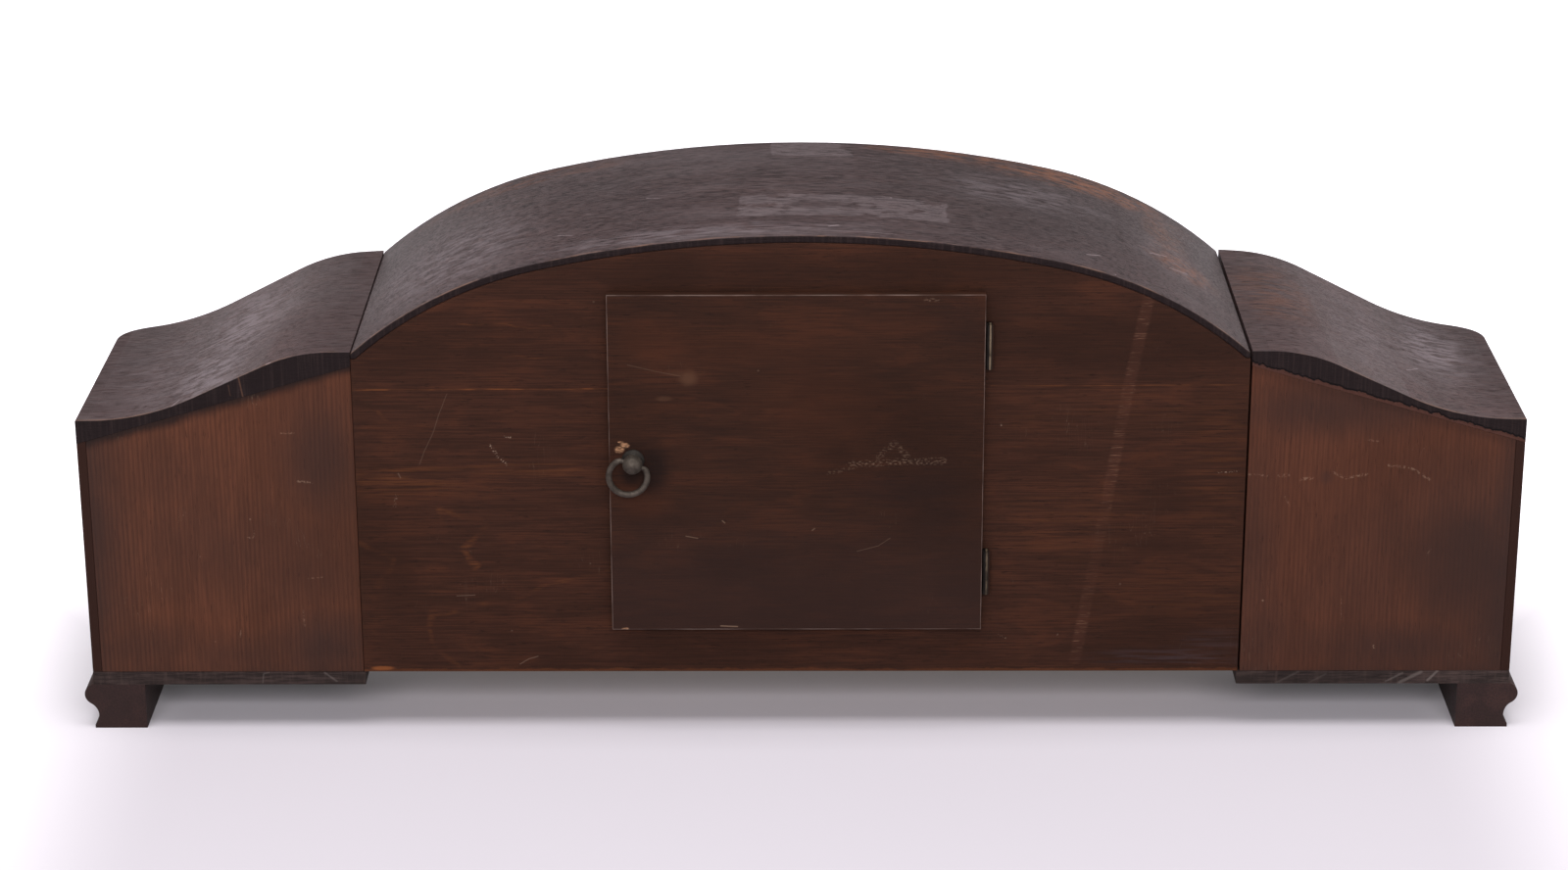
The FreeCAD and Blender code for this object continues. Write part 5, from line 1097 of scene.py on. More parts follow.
def turned_points(profile: np.ndarray, steps: int, centre: Sequence[float]) -> np.ndarray:
    """Carry a profile of (radius, y) round an axis along Y.

    A point is centre + (r cos a, y, r sin a) for each angle a.

    Args:
        profile: Pairs of radius and place along the axis, in millimetres.
        steps: Points round the axis.
        centre: Where the axis stands, in millimetres.
    Returns:
        Points in metres, profile by steps by 3.
    """
    angle = np.linspace(0, 2 * np.pi, steps, endpoint=False)
    radius, y = profile[:, :1], profile[:, 1:]
    points = np.stack(np.broadcast_arrays(radius * np.cos(angle), y, radius * np.sin(angle)), axis=-1)
    return (points + np.asarray(centre)) * MM


def swept_points(path: np.ndarray, radius: np.ndarray, side: np.ndarray, steps: int) -> np.ndarray:
    """Carry a circle along a flat path.

    A point is path + radius (side cos a + across sin a), where side is square to the path's plane
    and across lies in it, square to the path.

    Args:
        path: Points along the middle, n by 3.
        radius: Radius at each.
        side: Unit normal of the path's plane.
        steps: Points round the circle.
    Returns:
        Points, n by steps by 3.
    """
    along = np.gradient(path, axis=0)
    along /= np.linalg.norm(along, axis=1, keepdims=True)
    across = np.cross(along, side)
    angle = np.linspace(0, 2 * np.pi, steps, endpoint=False)[None, :, None]
    ring = side[None, None, :] * np.cos(angle) + across[:, None, :] * np.sin(angle)
    return path[:, None, :] + ring * np.asarray(radius).reshape(-1, 1, 1)


def smooth_profile(points: Sequence[Place], steps: int) -> np.ndarray:
    """A rounded profile through points, by Catmull-Rom weights over each stretch.

    Args:
        points: Corner points.
        steps: Points made for each stretch.
    Returns:
        The profile, m by 2.
    """
    p = np.asarray(points, float)
    p = np.vstack([2 * p[0] - p[1], p, 2 * p[-1] - p[-2]])
    t = np.linspace(0, 1, steps, endpoint=False)[:, None, None]
    a, b, c, d = p[:-3], p[1:-2], p[2:-1], p[3:]
    curve = b + 0.5 * ((c - a) * t + (2 * a - 5 * b + 4 * c - d) * t ** 2 + (3 * b - a - 3 * c + d) * t ** 3)
    return np.vstack([curve.transpose(1, 0, 2).reshape(-1, 2), p[-2:-1]])


class Dresser:
    """Gives CAD nodes their finishes and softened arrises."""

    def __init__(self) -> None:
        """Take the frame's nodes."""
        self.nodes: dict[str, bpy.types.Object] = frame["nodes"]

    def paint(self, material: bpy.types.Material, *names: str) -> None:
        """Give nodes one material.

        Args:
            material: The material.
            *names: The nodes' names.
        """
        for name in names:
            mesh = self.nodes[name].data
            mesh.materials.clear()
            mesh.materials.append(material)
            LOG.info("%s wears %s", name, material.name)

    def soften(self, width: float, *names: str) -> None:
        """Round the arrises of nodes, over their welded meshes.

        Args:
            width: Width of the rounding, in millimetres.
            *names: The nodes' names.
        """
        for name in names:
            node = self.nodes[name]
            weld = node.modifiers.new("weld", "WELD")
            weld.merge_threshold = WELD_DISTANCE
            bevel = node.modifiers.new("arris", "BEVEL")
            bevel.width = width * MM
            bevel.segments = 2
            bevel.limit_method = "ANGLE"
            bevel.angle_limit = math.radians(ARRIS_ANGLE)
            bevel.harden_normals = True
            bevel.use_clamp_overlap = True


@dataclass
class Case:
    """The timber case and its finishes."""

    dresser: Dresser
    board_arris: float = 0.35
    top_arris: float = 0.7
    foot_arris: float = 0.6

    def dress(self) -> None:
        """Finish every timber node of the case and round its arrises."""
        for group in (self.backs(), self.tops(), self.rest()):
            for finish, *names in group:
                self.dresser.paint(finish.make(), *names)
        paired = [f"{name}_{side}" for name in ("shoulder_back", "shoulder_wrap", "base_plank")
                  for side in ("left", "right")]
        self.dresser.soften(self.board_arris, "front_panel", "back_board", *paired)
        self.dresser.soften(self.top_arris, "arch_top", "shoulder_cap_left", "shoulder_cap_right")
        self.dresser.soften(self.foot_arris, "rear_feet", "front_feet")

    def backs(self) -> Iterator[tuple]:
        """The back board and the shoulder backs.

        Returns:
            Each finish, followed by the names of the nodes that wear it.
        """
        plain = {"roughness": 0.6, "gloss": 0.08}
        yield BackBoardFinish(
            "board_stain", (0.0215, 0.0080, 0.0046), (0.0365, 0.0130, 0.0074), (0.058, 0.0180, 0.0080),
            grain=Axis.X, fibre_pitch=0.42, fibre_length=24.0, **plain), "back_board"
        plain.update(grain=Axis.Z, fibre_pitch=0.8, fibre_length=14.0, warm_share=0.3, mottle_share=0.45)
        yield ShoulderFinish(
            "shoulder_stain_right",
            (0.062, 0.0222, 0.0122), (0.083, 0.0292, 0.0158), (0.096, 0.0325, 0.0165),
            shift=1.7, stain=0.9,
            smudges=(
                Blot((203, 126), (15, 24), 0.85, 0.9), Blot((204, 38), (20, 14), 1.0, 0.9),
                Blot((238, 84), (46, 20), 0.45, 1.0), Blot((300, 96), (14, 60), 0.8, 1.0),
                Blot((214, 72), (24, 16), 0.45, 1.0), Blot((285, 38), (24, 10), 0.6, 1.0),
                Blot((268, 116), (26, 16), 0.3, 1.0), Blot((240, 34), (26, 8), 0.6, 1.0),
            ),
            knocks=(
                Stroke(((234.9, 88.8), (232.3, 88.9), (231.8, 92)), 0.25, 0.5, 0.8),
                Stroke(((213, 114.6), (206.6, 113.9)), 0.3, 0.6, 0.8),
                Stroke(((219, 136.3), (213, 136.3)), 0.25, 0.5, 0.7),
                Stroke(((210, 70), (204, 70.6)), 0.15, 0.4, 0.5),
                Stroke(((213, 55), (212.6, 48)), 0.3, 0.5, 0.5),
                Stroke(((256, 81), (255.6, 80)), 0.4, 0.4, 0.7),
                Stroke(((240, 46), (240.6, 43)), 0.2, 0.4, 0.6),
            ), **plain), "shoulder_back_right"
        yield ShoulderFinish(
            "shoulder_stain_left",
            (0.057, 0.0200, 0.0114), (0.076, 0.0265, 0.0148), (0.086, 0.0288, 0.0150),
            shift=5.3, line_share=0.42,
            smudges=(
                Blot((-290, 80), (32, 34), 1.0, 1.0), Blot((-262, 90), (30, 18), 0.5, 1.0),
                Blot((-246, 62), (26, 30), 0.4, 1.0), Blot((-192, 80), (9, 40), 0.55, 1.0),
                Blot((-196, 42), (14, 16), 0.6, 1.0), Blot((-226, 146), (34, 9), 0.8, 1.0),
                Blot((-262, 38), (44, 12), 0.85, 1.0), Blot((-296, 50), (14, 34), 0.9, 1.0),
                Blot((-222, 116), (3, 3), 0.5),
            ),
            knocks=(
                Stroke(((-189, 117.2), (-197, 116.6)), 0.3, 0.5, 0.6),
                Stroke(((-202, 116.4), (-206, 116.8)), 0.7, 0.7, 0.6),
                Stroke(((-211, 115), (-216, 115.4)), 0.6, 0.7, 0.7),
                Stroke(((-225, 118), (-230, 115.4), (-239, 117.2)), 0.35, 0.7, 0.8),
                Stroke(((-248, 121.2), (-257.6, 120), (-266, 114.5)), 0.35, 0.7, 0.65),
                Stroke(((-205, 107), (-207, 103)), 0.2, 0.5, 0.45),
                Stroke(((-246, 38.2), (-246.3, 37.4)), 0.8, 0.4, 1.0),
                Stroke(((-243, 132), (-237, 133)), 0.2, 0.5, 0.45),
                Stroke(((-268, 83), (-266, 80)), 0.2, 0.4, 0.45),
                Stroke(((-231, 62), (-231.5, 50)), 0.12, 0.3, 0.4),
            ), **plain), "shoulder_back_left"

    def tops(self) -> Iterator[tuple]:
        """The arched sheet and the caps.

        Returns:
            Each finish, followed by the names of the nodes that wear it.
        """
        tones = ((0.032, 0.0168, 0.0160), (0.055, 0.0300, 0.0290), (0.078, 0.040, 0.034))
        shared = {"grain": Axis.X, "fibre_pitch": 0.8, "fibre_length": 14.0, "roughness": 0.46,
                  "warm_share": 0.3}
        yield TopFinish(
            "arch_polish", *(toned(tone, 0.66) for tone in tones), shift=2.2, sheen_tint=(1.0, 0.79, 0.85),
            papers=(((-62, 11), (26, 40)), ((-22, -70), (12.5, -49))), holes=(Blot((-8, 25), (10, 6), 1.0),),
            shades=(Blot((-100, -5), (46, 62), 0.8, 1.0),),
            rubs=(
                Blot((-162, 8), (16, 20), 0.4), Blot((150, 20), (30, 40), 0.5), Blot((40, 58), (60, 8), 0.5),
                Blot((-95, -20), (30, 18), 0.4),
            ),
            reds=(
                Blot((-122, -58), (36, 12), 1.0), Blot((-66, -64), (28, 7), 0.8),
                Blot((-160, -30), (8, 24), 0.4),
                Blot((-164, 8), (12, 14), 0.6), Blot((120, -60), (40, 8), 0.35),
            ),
            scratches=(
                Stroke(((-150, 12), (-158, 4)), 0.3, 0.5, 0.6),
                Stroke(((-166, 14), (-158, 20)), 0.3, 0.5, 0.5),
                Stroke(((96, 40), (102, 36)), 0.2, 0.4, 0.5), Stroke(((-12, 56), (-16, 54)), 0.3, 0.4, 0.8),
                Stroke(((142, 30), (150, 22)), 0.2, 0.4, 0.4), Stroke(((60, 5), (66, 2)), 0.2, 0.4, 0.5),
                Stroke(((20, 60), (-40, 63)), 0.15, 0.4, 0.3),
                Stroke(((-120, 50), (-126, 46)), 0.3, 0.4, 0.7),
            ), **shared), "arch_top"
        yield TopFinish(
            "cap_polish_left", *tones, shift=7.9, pore_share=0.4, crack=True,
            # Paler patches of painted sheen on the curved top
            rubs=(Blot((-276, -10), (13, 28), 1.0, 1.0), Blot((-246, 0), (14, 50), 0.45, 1.0)),
            # Painted shade at the crest and the outer end
            shades=(Blot((-199, 0), (16, 90), 0.6, 0.9), Blot((-298, -10), (9, 80), 0.5, 0.9)),
            reds=(Blot((-206, -10), (16, 34), 0.3),),
            scratches=(Stroke(((-260, 30), (-266, 22)), 0.2, 0.4, 0.5),), **shared), "shoulder_cap_left"
        yield TopFinish(
            "cap_polish_right", *tones, shift=4.4, pore_share=0.3,
            end_marks=(
                Stroke(((235, 161), (233.5, 152.8)), 0.25, 0.35, 0.8),
                Stroke(((239.3, 157.5), (238.6, 153)), 0.12, 0.3, 0.4),
            ),
            # Paler patches of painted sheen on the curved top
            rubs=(
                Blot((250, 45), (13, 32), 1.0, 1.0), Blot((242, -8), (14, 42), 0.9, 1.0),
                Blot((270, 20), (20, 40), 0.35, 1.0),
            ),
            # Painted shade at the crest and the outer end
            shades=(Blot((198, 0), (15, 90), 0.7, 0.9), Blot((294, -10), (12, 80), 0.5, 0.9)),
            scratches=(
                Stroke(((261.5, 64.5), (264, 69.2)), 0.3, 0.5, 0.7),
                Stroke(((222, 68.8), (223, 68.9)), 0.9, 0.5, 1.0),
                Stroke(((236, -5), (262, 2)), 0.3, 0.8, 0.35), Stroke(((243, 62), (250, 66)), 0.2, 0.4, 0.5),
            ), **shared), "shoulder_cap_right"

    def rest(self) -> Iterator[tuple]:
        """The wraps, the front, the unpolished inside, the planks and the feet.

        Returns:
            Each finish, followed by the names of the nodes that wear it.
        """
        yield VeneerFinish(
            "veneer_polish", (0.030, 0.0150, 0.0110), (0.070, 0.0300, 0.0180), (0.125, 0.050, 0.024), Axis.Z,
            fibre_length=16.0, cloud_size=60.0, roughness=0.38, warm_share=0.8, shift=3.1, gloss=0.3,
        ), "front_panel", "shoulder_wrap_left", "shoulder_wrap_right"
        yield Timber(
            "bare_timber", (0.10, 0.058, 0.030), (0.20, 0.125, 0.068), (0.25, 0.15, 0.075), Axis.X,
            roughness=0.75, gloss=0.2), "partition_left", "partition_right", "base_board"
        sawn = {"grain": Axis.X, "fibre_pitch": 0.9, "fibre_length": 12.0, "roughness": 0.72, "gloss": 0.08}
        tones = ((0.018, 0.0125, 0.0115), (0.038, 0.0255, 0.0235), (0.070, 0.046, 0.040))
        yield PlankFinish("plank_stain_left", *tones, scratches=(
            Stroke(((-258, 21), (-267, 26)), 0.5, 0.9, 0.4),
            Stroke(((-270, 22), (-274, 26.4)), 0.4, 0.6, 0.5),
            Stroke(((-252, 21.5), (-259, 25.5)), 0.3, 0.5, 0.3),
            Stroke(((-205, 21), (-214, 26)), 0.3, 0.5, 0.15),
            Stroke(((-219, 21), (-226, 25)), 0.25, 0.5, 0.12),
        ), **sawn), "base_plank_left"
        yield PlankFinish("plank_stain_right", *tones, shift=3.7, scratches=(
            Stroke(((232, 21), (231.4, 25.6), (229, 26.2)), 0.2, 0.3, 0.3),
            Stroke(((200, 22), (205, 26)), 0.3, 0.5, 0.3),
        ), **sawn), "base_plank_right"
        yield Timber(
            "foot_stain", (0.020, 0.0115, 0.0105), (0.030, 0.0155, 0.0145), (0.044, 0.021, 0.017), Axis.Y,
            fibre_pitch=0.8, fibre_length=10.0, roughness=0.5, gloss=0.1), "rear_feet", "front_feet"


@dataclass
class BackDoor:
    """The back door, its hinges and its ring pull."""

    dresser: Dresser
    bronze: bpy.types.Material
    knob: tuple[float, float, float] = (70.4, 79.45, 125.5)
    face: float = 74.15
    shank: Place = (1.5, -12.9)
    ball_radius: float = 4.2
    ball_arc: Place = (-58.0, 72.0)
    ring_radius: float = 8.1
    wire: float = 1.35
    arm: float = 5.75
    tilt: float = 20.0
    pivot: float = 0.9
    pivot_end: float = 2.95
    elbow_reach: float = 1.1
    wire_taper: float = 0.06
    knob_steps: int = 56
    wire_steps: int = 20
    ball_points: int = 26
    ring_points: int = 97
    pin_points: int = 8
    elbow_points: int = 7
    elbow_skip: int = 4

    def dress(self) -> None:
        """Finish the door and hinges, and build the pull."""
        finish = DoorFinish(
            "door_stain", (0.0175, 0.0068, 0.0040), (0.0305, 0.0110, 0.0060), (0.050, 0.0150, 0.0066),
            Axis.X, fibre_pitch=0.42, fibre_length=24.0, roughness=0.60, gloss=0.08, shift=9.1,
            warm_share=0.4)
        self.dresser.paint(finish.make(), "back_door")
        self.dresser.paint(HingeFinish().make(), "case_hinge_leaves", "door_hinge_leaves", "door_hinge_pins")
        self.build_knob()
        self.build_ring()

    def build_knob(self) -> None:
        """Turned knob: stepped rosette, waisted neck, and a ball with a small flat on its end."""
        base = self.face - self.knob[1]
        radius, end = self.shank
        rosette = np.array([(radius, 0.0), (4.8, 0.0), (4.8, 0.45), (4.55, 0.75), (3.9, 0.95), (3.5, 1.2),
                            (2.3, 1.45), (1.95, 1.9)]) + (0.0, base)
        angle = np.radians(np.linspace(*self.ball_arc, self.ball_points))
        ball = np.stack([self.ball_radius * np.cos(angle), self.ball_radius * np.sin(angle)], axis=1)
        flat = np.array([(0.95, 0.12), (0.0, 0.14)]) + (0.0, ball[-1, 1])
        profile = np.vstack([[(0.0, end), (radius, end)], rosette, ball, flat])
        points = turned_points(profile, self.knob_steps, self.knob)
        made = mesh_object("ring_knob_turned", points, grid_faces(len(profile), self.knob_steps))
        fit(made, self.bronze, "door", "pull_bronze", "ring_knob")

    def build_ring(self) -> None:
        """Open ring of round wire, thickest at its bottom, whose ends turn in to the ball as pivots.

        The wire's middle is the circle (R sin a, 0, R cos a - drop), joined to each level pivot by the curve
        (1 - t)^2 near + 2 t (1 - t) corner + t^2 far.
        """
        drop = math.sqrt(self.ring_radius ** 2 - self.arm ** 2)
        start = math.asin(self.arm / self.ring_radius)
        angle = np.linspace(start, 2 * np.pi - start, self.ring_points)
        x, z = self.ring_radius * np.sin(angle), self.ring_radius * np.cos(angle) - drop
        path = np.stack([x, 0 * angle, z], axis=1)
        thick = self.wire * (1 - self.wire_taper + self.wire_taper * np.sin(angle / 2) ** 6)
        ends = np.linspace(self.pivot_end, self.arm - self.elbow_reach, self.pin_points)
        pins = np.stack([ends, 0 * ends, 0 * ends], axis=1)
        skip = self.elbow_skip
        near, corner, far = pins[-1], path[0], path[skip]
        share = np.linspace(0, 1, self.elbow_points + 2)[1:-1, None]
        elbow = (1 - share) ** 2 * near + 2 * share * (1 - share) * corner + share ** 2 * far
        arm = np.vstack([pins, elbow])
        arm_wire = np.concatenate([np.full(len(pins), self.pivot),
                                   np.linspace(self.pivot * 1.1, thick[skip], len(elbow))])
        whole = np.vstack([arm, path[skip:-skip], arm[::-1] * (-1.0, 1.0, 1.0)])
        radius = np.concatenate([arm_wire, thick[skip:-skip], arm_wire[::-1]])
        tube = swept_points(whole, radius, np.array([0.0, 1.0, 0.0]), self.wire_steps)
        first, last = (np.repeat(whole[k][None, None, :], self.wire_steps, axis=1) for k in (0, -1))
        tube = np.concatenate([first, tube, last], axis=0)
        c, s = math.cos(math.radians(self.tilt)), math.sin(math.radians(self.tilt))
        spin = np.array([[c, 0, -s], [0, 1, 0], [s, 0, c]])
        points = (tube.reshape(-1, 3) @ spin.T + np.asarray(self.knob)) * MM
        made = mesh_object("pull_ring_wire", points, grid_faces(len(tube), self.wire_steps))
        fit(made, self.bronze, "ring", "pull_bronze", "pull_ring")


@dataclass
class DialSide:
    """Dial, bezel, glass and hands on the front."""

    dresser: Dresser
    brass: bpy.types.Material
    centre_height: float = 124.5
    face: float = -71.2
    proud: float = 0.06
    numeral_radius: float = 53.0
    numeral_size: float = 13.0
    track: Place = (62.0, 65.0)
    line: float = 0.18
    bar_halves: Place = (0.75, 0.22)
    winding: Place = (34.322, -22.175)
    glass_radius: float = 72.4
    glass_thickness: float = 2.0
    dome_edge: float = 66.9
    dome_rise: float = 6.5
    track_steps: int = 180
    eyelet_steps: int = 64
    glass_steps: int = 120
    dome_points: int = 36

    def dress(self) -> None:
        """Finish the nodes, lay the minute track, numerals and eyelets on the dial, and build the glass."""
        paint = self.dresser.paint
        paint(DialFinish().make(), "dial")
        paint(self.brass, "bezel", "bezel_hinge_leaf", "bezel_hinge_pin", "hand_nut")
        paint(Lacquer("hand_lacquer").make(), "hour_hand", "minute_hand")
        ink = Lacquer("dial_ink", (0.016, 0.014, 0.013), (0.05, 0.04, 0.03)).make()
        self.build_track(ink)
        self.build_numerals(ink)
        self.build_eyelets()
        self.build_glass()

    def bars(self, half: np.ndarray, middle: np.ndarray) -> tuple[np.ndarray, np.ndarray]:
        """Raised bars at clock angles, each a thin box across the track.

        A corner is (r sin a, y, r cos a) with a = middle +- half / r, so that a bar has parallel sides.

        Args:
            half: Half width of each bar.
            middle: Clock angle of each.
        Returns:
            Points in metres and quads.
        """
        inner, outer = self.track
        r = np.array([inner, outer, outer, inner])
        angle = middle[:, None] + np.array([-1, -1, 1, 1]) * half[:, None] / r
        flat = np.stack([r * np.sin(angle), 0 * angle, r * np.cos(angle) + self.centre_height], axis=-1)
        points = np.repeat(flat[:, None], 2, axis=1)
        points[..., 1] = np.array([self.face, self.face - self.proud])[None, :, None]
        box = np.array([[4, 5, 6, 7], [3, 2, 1, 0], [0, 1, 5, 4], [1, 2, 6, 5], [2, 3, 7, 6], [3, 0, 4, 7]])
        quads = box[None] + 8 * np.arange(len(middle))[:, None, None]
        return points.reshape(-1, 3) * MM, quads.reshape(-1, 4)

    def build_track(self, ink: bpy.types.Material) -> None:
        """Minute track: sixty strokes, each fifth one broader, between two thin rings.

        Args:
            ink: Their material.
        """
        minute = np.arange(60)
        points, quads = self.bars(np.where(minute % 5 == 0, *self.bar_halves), minute * 2 * np.pi / 60)
        fit(mesh_object("minute_track", points, quads, smooth=False), ink, "case", "hand_black")
        for name, radius in zip(("track_ring_inner", "track_ring_outer"), self.track):
            low, high = radius - self.line, radius + self.line
            top = self.face - self.proud
            profile = np.array([(low, self.face), (low, top), (high, top), (high, self.face)])
            ring = turned_points(profile, self.track_steps, (0, 0, self.centre_height))
            faces = grid_faces(len(profile), self.track_steps, wrap_rows=True)
            fit(mesh_object(name, ring, faces, smooth=False), ink, "case", "hand_black")

    def build_numerals(self, ink: bpy.types.Material) -> None:
        """Upright plain numbers, one for each hour.

        Args:
            ink: Their material.
        """
        for hour in range(1, 13):
            angle = math.radians(30 * hour)
            curve = bpy.data.curves.new(f"numeral_{hour}", "FONT")
            curve.body = str(hour)
            curve.size = self.numeral_size * MM
            curve.align_x = "CENTER"
            curve.align_y = "CENTER"
            curve.extrude = self.proud / 2 * MM
            text = bpy.data.objects.new(f"numeral_{hour}", curve)
            bpy.context.scene.collection.objects.link(text)
            bpy.context.view_layer.update()
            mesh = bpy.data.meshes.new_from_object(text.evaluated_get(bpy.context.evaluated_depsgraph_get()))
            bpy.data.objects.remove(text)
            where = Vector((self.numeral_radius * math.sin(angle), self.face - self.proud / 2,
                            self.numeral_radius * math.cos(angle) + self.centre_height)) * MM
            mesh.transform(Matrix.Translation(where) @ Matrix.Rotation(math.pi / 2, 4, "X"))
            tidy_mesh(mesh)
            mesh.materials.clear()
            made = bpy.data.objects.new(f"numeral_{hour}", mesh)
            bpy.context.scene.collection.objects.link(made)
            fit(made, ink, "case", "hand_black")

    def build_eyelets(self) -> None:
        """Brass eyelets round the winding holes, with a rolled rim."""
        x, z = self.winding
        rim = [(4.45, 0.0), (4.35, -0.35), (4.7, -0.6), (5.3, -0.5), (5.8, -0.15), (5.9, 0.0)]
        profile = smooth_profile(rim, 5) + (0.0, self.face)
        faces = grid_faces(len(profile), self.eyelet_steps, wrap_rows=True)
        for name, place in (("eyelet_left", -x), ("eyelet_right", x)):
            points = turned_points(profile, self.eyelet_steps, (place, 0, z + self.centre_height))
            fit(mesh_object(name, points, faces), self.brass, "case", "brass")

    def build_glass(self) -> None:
        """Smooth domed glass with a flat rim in the bezel's groove.

        Each face of the dome is y = rim - sqrt(R^2 - r^2) + R - rise,
        where R = (edge^2 + rise^2) / (2 rise).
        """
        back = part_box("bezel_glass")[1].y / MM
        front = back - self.glass_thickness
        ball = (self.dome_edge ** 2 + self.dome_rise ** 2) / (2 * self.dome_rise)
        r = self.dome_edge * np.sin(np.linspace(0, np.pi / 2, self.dome_points))
        bulge = np.sqrt(ball ** 2 - r ** 2) - ball + self.dome_rise
        outer, inner = (np.stack([r, rim - bulge], axis=1) for rim in (front, back))
        profile = np.vstack([outer, [(self.glass_radius, front), (self.glass_radius, back)], inner[::-1]])
        points = turned_points(profile, self.glass_steps, (0, 0, self.centre_height))
        made = mesh_object("bezel_glass_dome", points, grid_faces(len(profile), self.glass_steps))
        fit(made, GlassFinish().make(), "bezel_frame", "glass", "bezel_glass")


@dataclass
class Movement:
    """Plates, trains, pendulum, strike and gong inside the case."""

    dresser: Dresser
    brass: bpy.types.Material
    plates: tuple[str, ...] = ("front_plate", "back_plate", "pendulum_cock")
    wheels: tuple[str, ...] = (
        "centre_wheel", "second_wheel", "third_wheel", "escape_wheel", "time_barrel", "strike_barrel",
        "cannon_pinion", "minute_wheel", "hour_wheel", "pin_wheel", "pendulum_bob", "strike_fly",
        "plate_pillars", "door_clip",
    )
    steels: tuple[str, ...] = (
        "plate_nuts", "time_mainspring", "strike_mainspring", "time_winding_arbor", "strike_winding_arbor",
        "time_click", "strike_click", "anchor", "pendulum_rod", "strike_hammers",
    )

    def dress(self) -> None:
        """Finish the movement's nodes."""
        self.dresser.paint(self.brass, *self.wheels)
        plate = Metal("plate_brass", (0.66, 0.47, 0.20), (0.38, 0.24, 0.09), roughness=0.36, tarnish=0.6,
                      cloud_size=22.0)
        steel = Metal("bright_steel", (0.52, 0.52, 0.53), (0.22, 0.20, 0.19), Axis.Y, roughness=0.3)
        rods = Metal("gong_bronze", (0.45, 0.30, 0.16), (0.20, 0.13, 0.08), roughness=0.35, tarnish=0.6)
        iron = Metal("black_casting", (0.035, 0.035, 0.038), (0.015, 0.014, 0.014), Axis.Z, roughness=0.7,
                     tarnish=0.8, metallic=0.2, pit_depth=0.15)
        worn = ((plate, self.plates), (steel, self.steels), (rods, ("gong_rods",)), (iron, ("gong_block",)))
        for finish, names in worn:
            self.dresser.paint(finish.make(), *names)


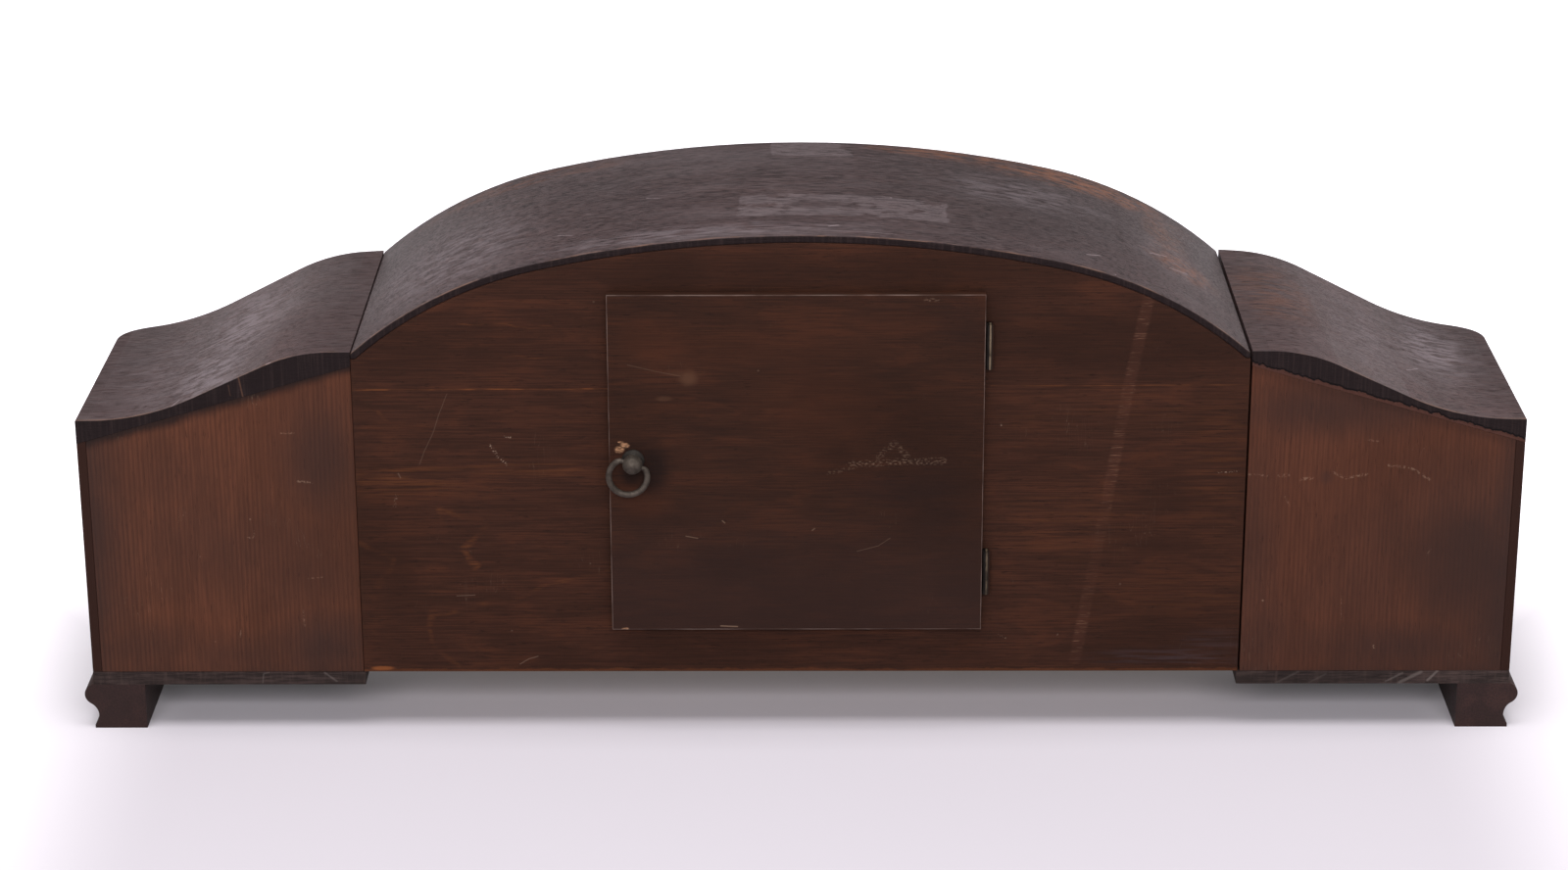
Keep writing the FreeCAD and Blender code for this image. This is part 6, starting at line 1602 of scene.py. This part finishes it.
@dataclass
class Studio:
    """Pale floor, white backdrop, soft lamps and the camera."""

    lens: float = 86.776
    sensor: float = 36.0
    eye: tuple[float, float, float] = (-0.0001, 1.5585, 0.6926)
    yaw: float = -0.268
    pitch: float = 20.53
    roll: float = -0.162
    aim: tuple[float, float, float] = (0.0, 0.0, 0.05)
    floor_size: float = 3.0
    floor_tones: tuple[Colour, Colour] = ((0.58, 0.54, 0.59), (0.61, 0.57, 0.62))
    floor_glow: Colour = (1.0, 0.975, 1.0)
    floor_rough: float = 0.7
    floor_gloss: float = 0.2
    fade_beside: Place = (0.26, 0.44)
    fade_behind: Place = (0.06, -0.20)
    fade_around: Place = (0.55, 1.1)
    sky: Colour = (1.0, 0.99, 1.0)
    sky_strength: float = 0.25
    gloss_span: Place = (0.1, 0.65)
    gloss_strength: Place = (0.2, 1.35)
    far_clip: float = 50.0
    lamps: tuple[tuple, ...] = (
        ("overhead", (0.0, 0.5, 2.6), (2.4, 1.4), 62.0),
        ("camera_side", (0.0, 2.6, 1.6), (2.8, 0.8), 70.0),
    )

    def build(self) -> None:
        """Set up everything round the object."""
        bpy.context.scene.view_settings.view_transform = "Standard"
        self.build_floor()
        self.build_world()
        for lamp in self.lamps:
            self.build_lamp(*lamp)
        self.build_camera()

    def build_camera(self) -> None:
        """Camera where the photograph was taken from: behind the clock and above it."""
        yaw, pitch, roll = (math.radians(a) for a in (self.yaw, self.pitch, self.roll))
        level = math.cos(pitch)
        ahead = Vector((-math.sin(yaw) * level, -math.cos(yaw) * level, -math.sin(pitch)))
        right = Vector((-math.cos(yaw), math.sin(yaw), 0.0))
        up = right.cross(ahead)
        across = right * math.cos(roll) + up * math.sin(roll)
        upward = up * math.cos(roll) - right * math.sin(roll)
        turn = Matrix((across, upward, -ahead)).transposed().to_4x4()
        data = bpy.data.cameras.new("camera")
        data.lens = self.lens
        data.sensor_width = self.sensor
        data.sensor_fit = "HORIZONTAL"
        data.clip_end = self.far_clip
        camera = bpy.data.objects.new("camera", data)
        camera.matrix_world = Matrix.Translation(self.eye) @ turn
        bpy.context.scene.collection.objects.link(camera)
        bpy.context.scene.camera = camera

    def build_lamp(self, name: str, place: Sequence[float], size: Place, power: float) -> None:
        """One soft rectangular lamp that points at the object.

        Args:
            name: Its name.
            place: Where it stands, in metres.
            size: Its width and height.
            power: Its power in watts.
        """
        data = bpy.data.lights.new(name, "AREA")
        data.shape = "RECTANGLE"
        data.size, data.size_y = size
        data.energy = power
        lamp = bpy.data.objects.new(name, data)
        lamp.location = place
        lamp.rotation_euler = (Vector(self.aim) - Vector(place)).to_track_quat("-Z", "Y").to_euler()
        bpy.context.scene.collection.objects.link(lamp)

    def build_floor(self) -> None:
        """Pale floor that keeps the object's shadow and fades into the white backdrop."""
        half = self.floor_size
        points = np.array([(-half, -half, 0), (half, -half, 0), (half, half, 0), (-half, half, 0)])
        floor = mesh_object("floor", points, [(0, 1, 2, 3)], smooth=False)
        g = Graph("pale_floor")
        x, y = g.xyz[:2]
        g.colour = g.blend(g.cells(3.0, 2.0), *self.floor_tones)
        g.rough = self.floor_rough
        beside = g.ramp(g.calc("ABSOLUTE", x), *self.fade_beside)
        behind = g.ramp(y, *self.fade_behind)
        away = g.calc("SQRT", g.calc("MULTIPLY_ADD", x, x, g.times(y, y)))
        white = g.either(beside, behind, g.ramp(away, *self.fade_around))
        floor.data.materials.append(g.finish(
            Specular_IOR_Level=self.floor_gloss,
            Emission_Color=self.floor_glow,
            Emission_Strength=white,
        ))

    def build_world(self) -> None:
        """White to the eye, brighter at the sides than ahead in gloss, and even soft light elsewhere."""
        world = bpy.data.worlds.new("studio")
        bpy.context.scene.world = world
        world.use_nodes = True
        n = Nodes(world.node_tree)
        path = n.node("ShaderNodeLightPath").outputs
        way = n.node("ShaderNodeSeparateXYZ", Vector=n.node("ShaderNodeTexCoord").outputs["Generated"])
        sideways = n.calc("ABSOLUTE", way.outputs[0])
        room = n.ramp(sideways, *self.gloss_span, *self.gloss_strength, smooth=False)
        plain = n.node("ShaderNodeBackground", Color=self.sky, Strength=self.sky_strength)
        glossy = n.node("ShaderNodeBackground", Color=self.sky, Strength=room)
        white = n.node("ShaderNodeBackground", Color=WHITE)
        seen = n.calc("MAXIMUM", path["Is Camera Ray"], path["Is Transmission Ray"])
        light = plain
        for share, other in ((path["Is Glossy Ray"], glossy), (seen, white)):
            mixed = n.node("ShaderNodeMixShader")
            for socket, value in zip(mixed.inputs, (share, light.outputs[0], other.outputs[0])):
                n.feed(socket, value)
            light = mixed
        n.node("ShaderNodeOutputWorld", Surface=light.outputs[0])


def main() -> None:
    """Dress the whole clock and set up the studio."""
    logging.basicConfig(level=logging.INFO, format="%(name)s: %(message)s")
    dresser = Dresser()
    brass = Metal("aged_brass", (0.70, 0.49, 0.20), (0.36, 0.22, 0.08), Axis.Y, roughness=0.3,
                  tarnish=0.55).make()
    bronze = Metal("dark_bronze", (0.066, 0.052, 0.042), (0.022, 0.016, 0.012), Axis.Z, roughness=0.5,
                   tarnish=0.8, cloud_size=4.0, metallic=0.75, pit_depth=0.06,
                   dark_below=(76.6, 76.0)).make()
    case, door = Case(dresser), BackDoor(dresser, bronze)
    for assembly in (case, door, DialSide(dresser, brass), Movement(dresser, brass)):
        assembly.dress()
        LOG.info("%s dressed", type(assembly).__name__)
    Studio().build()


if __name__ == "__main__":
    main()
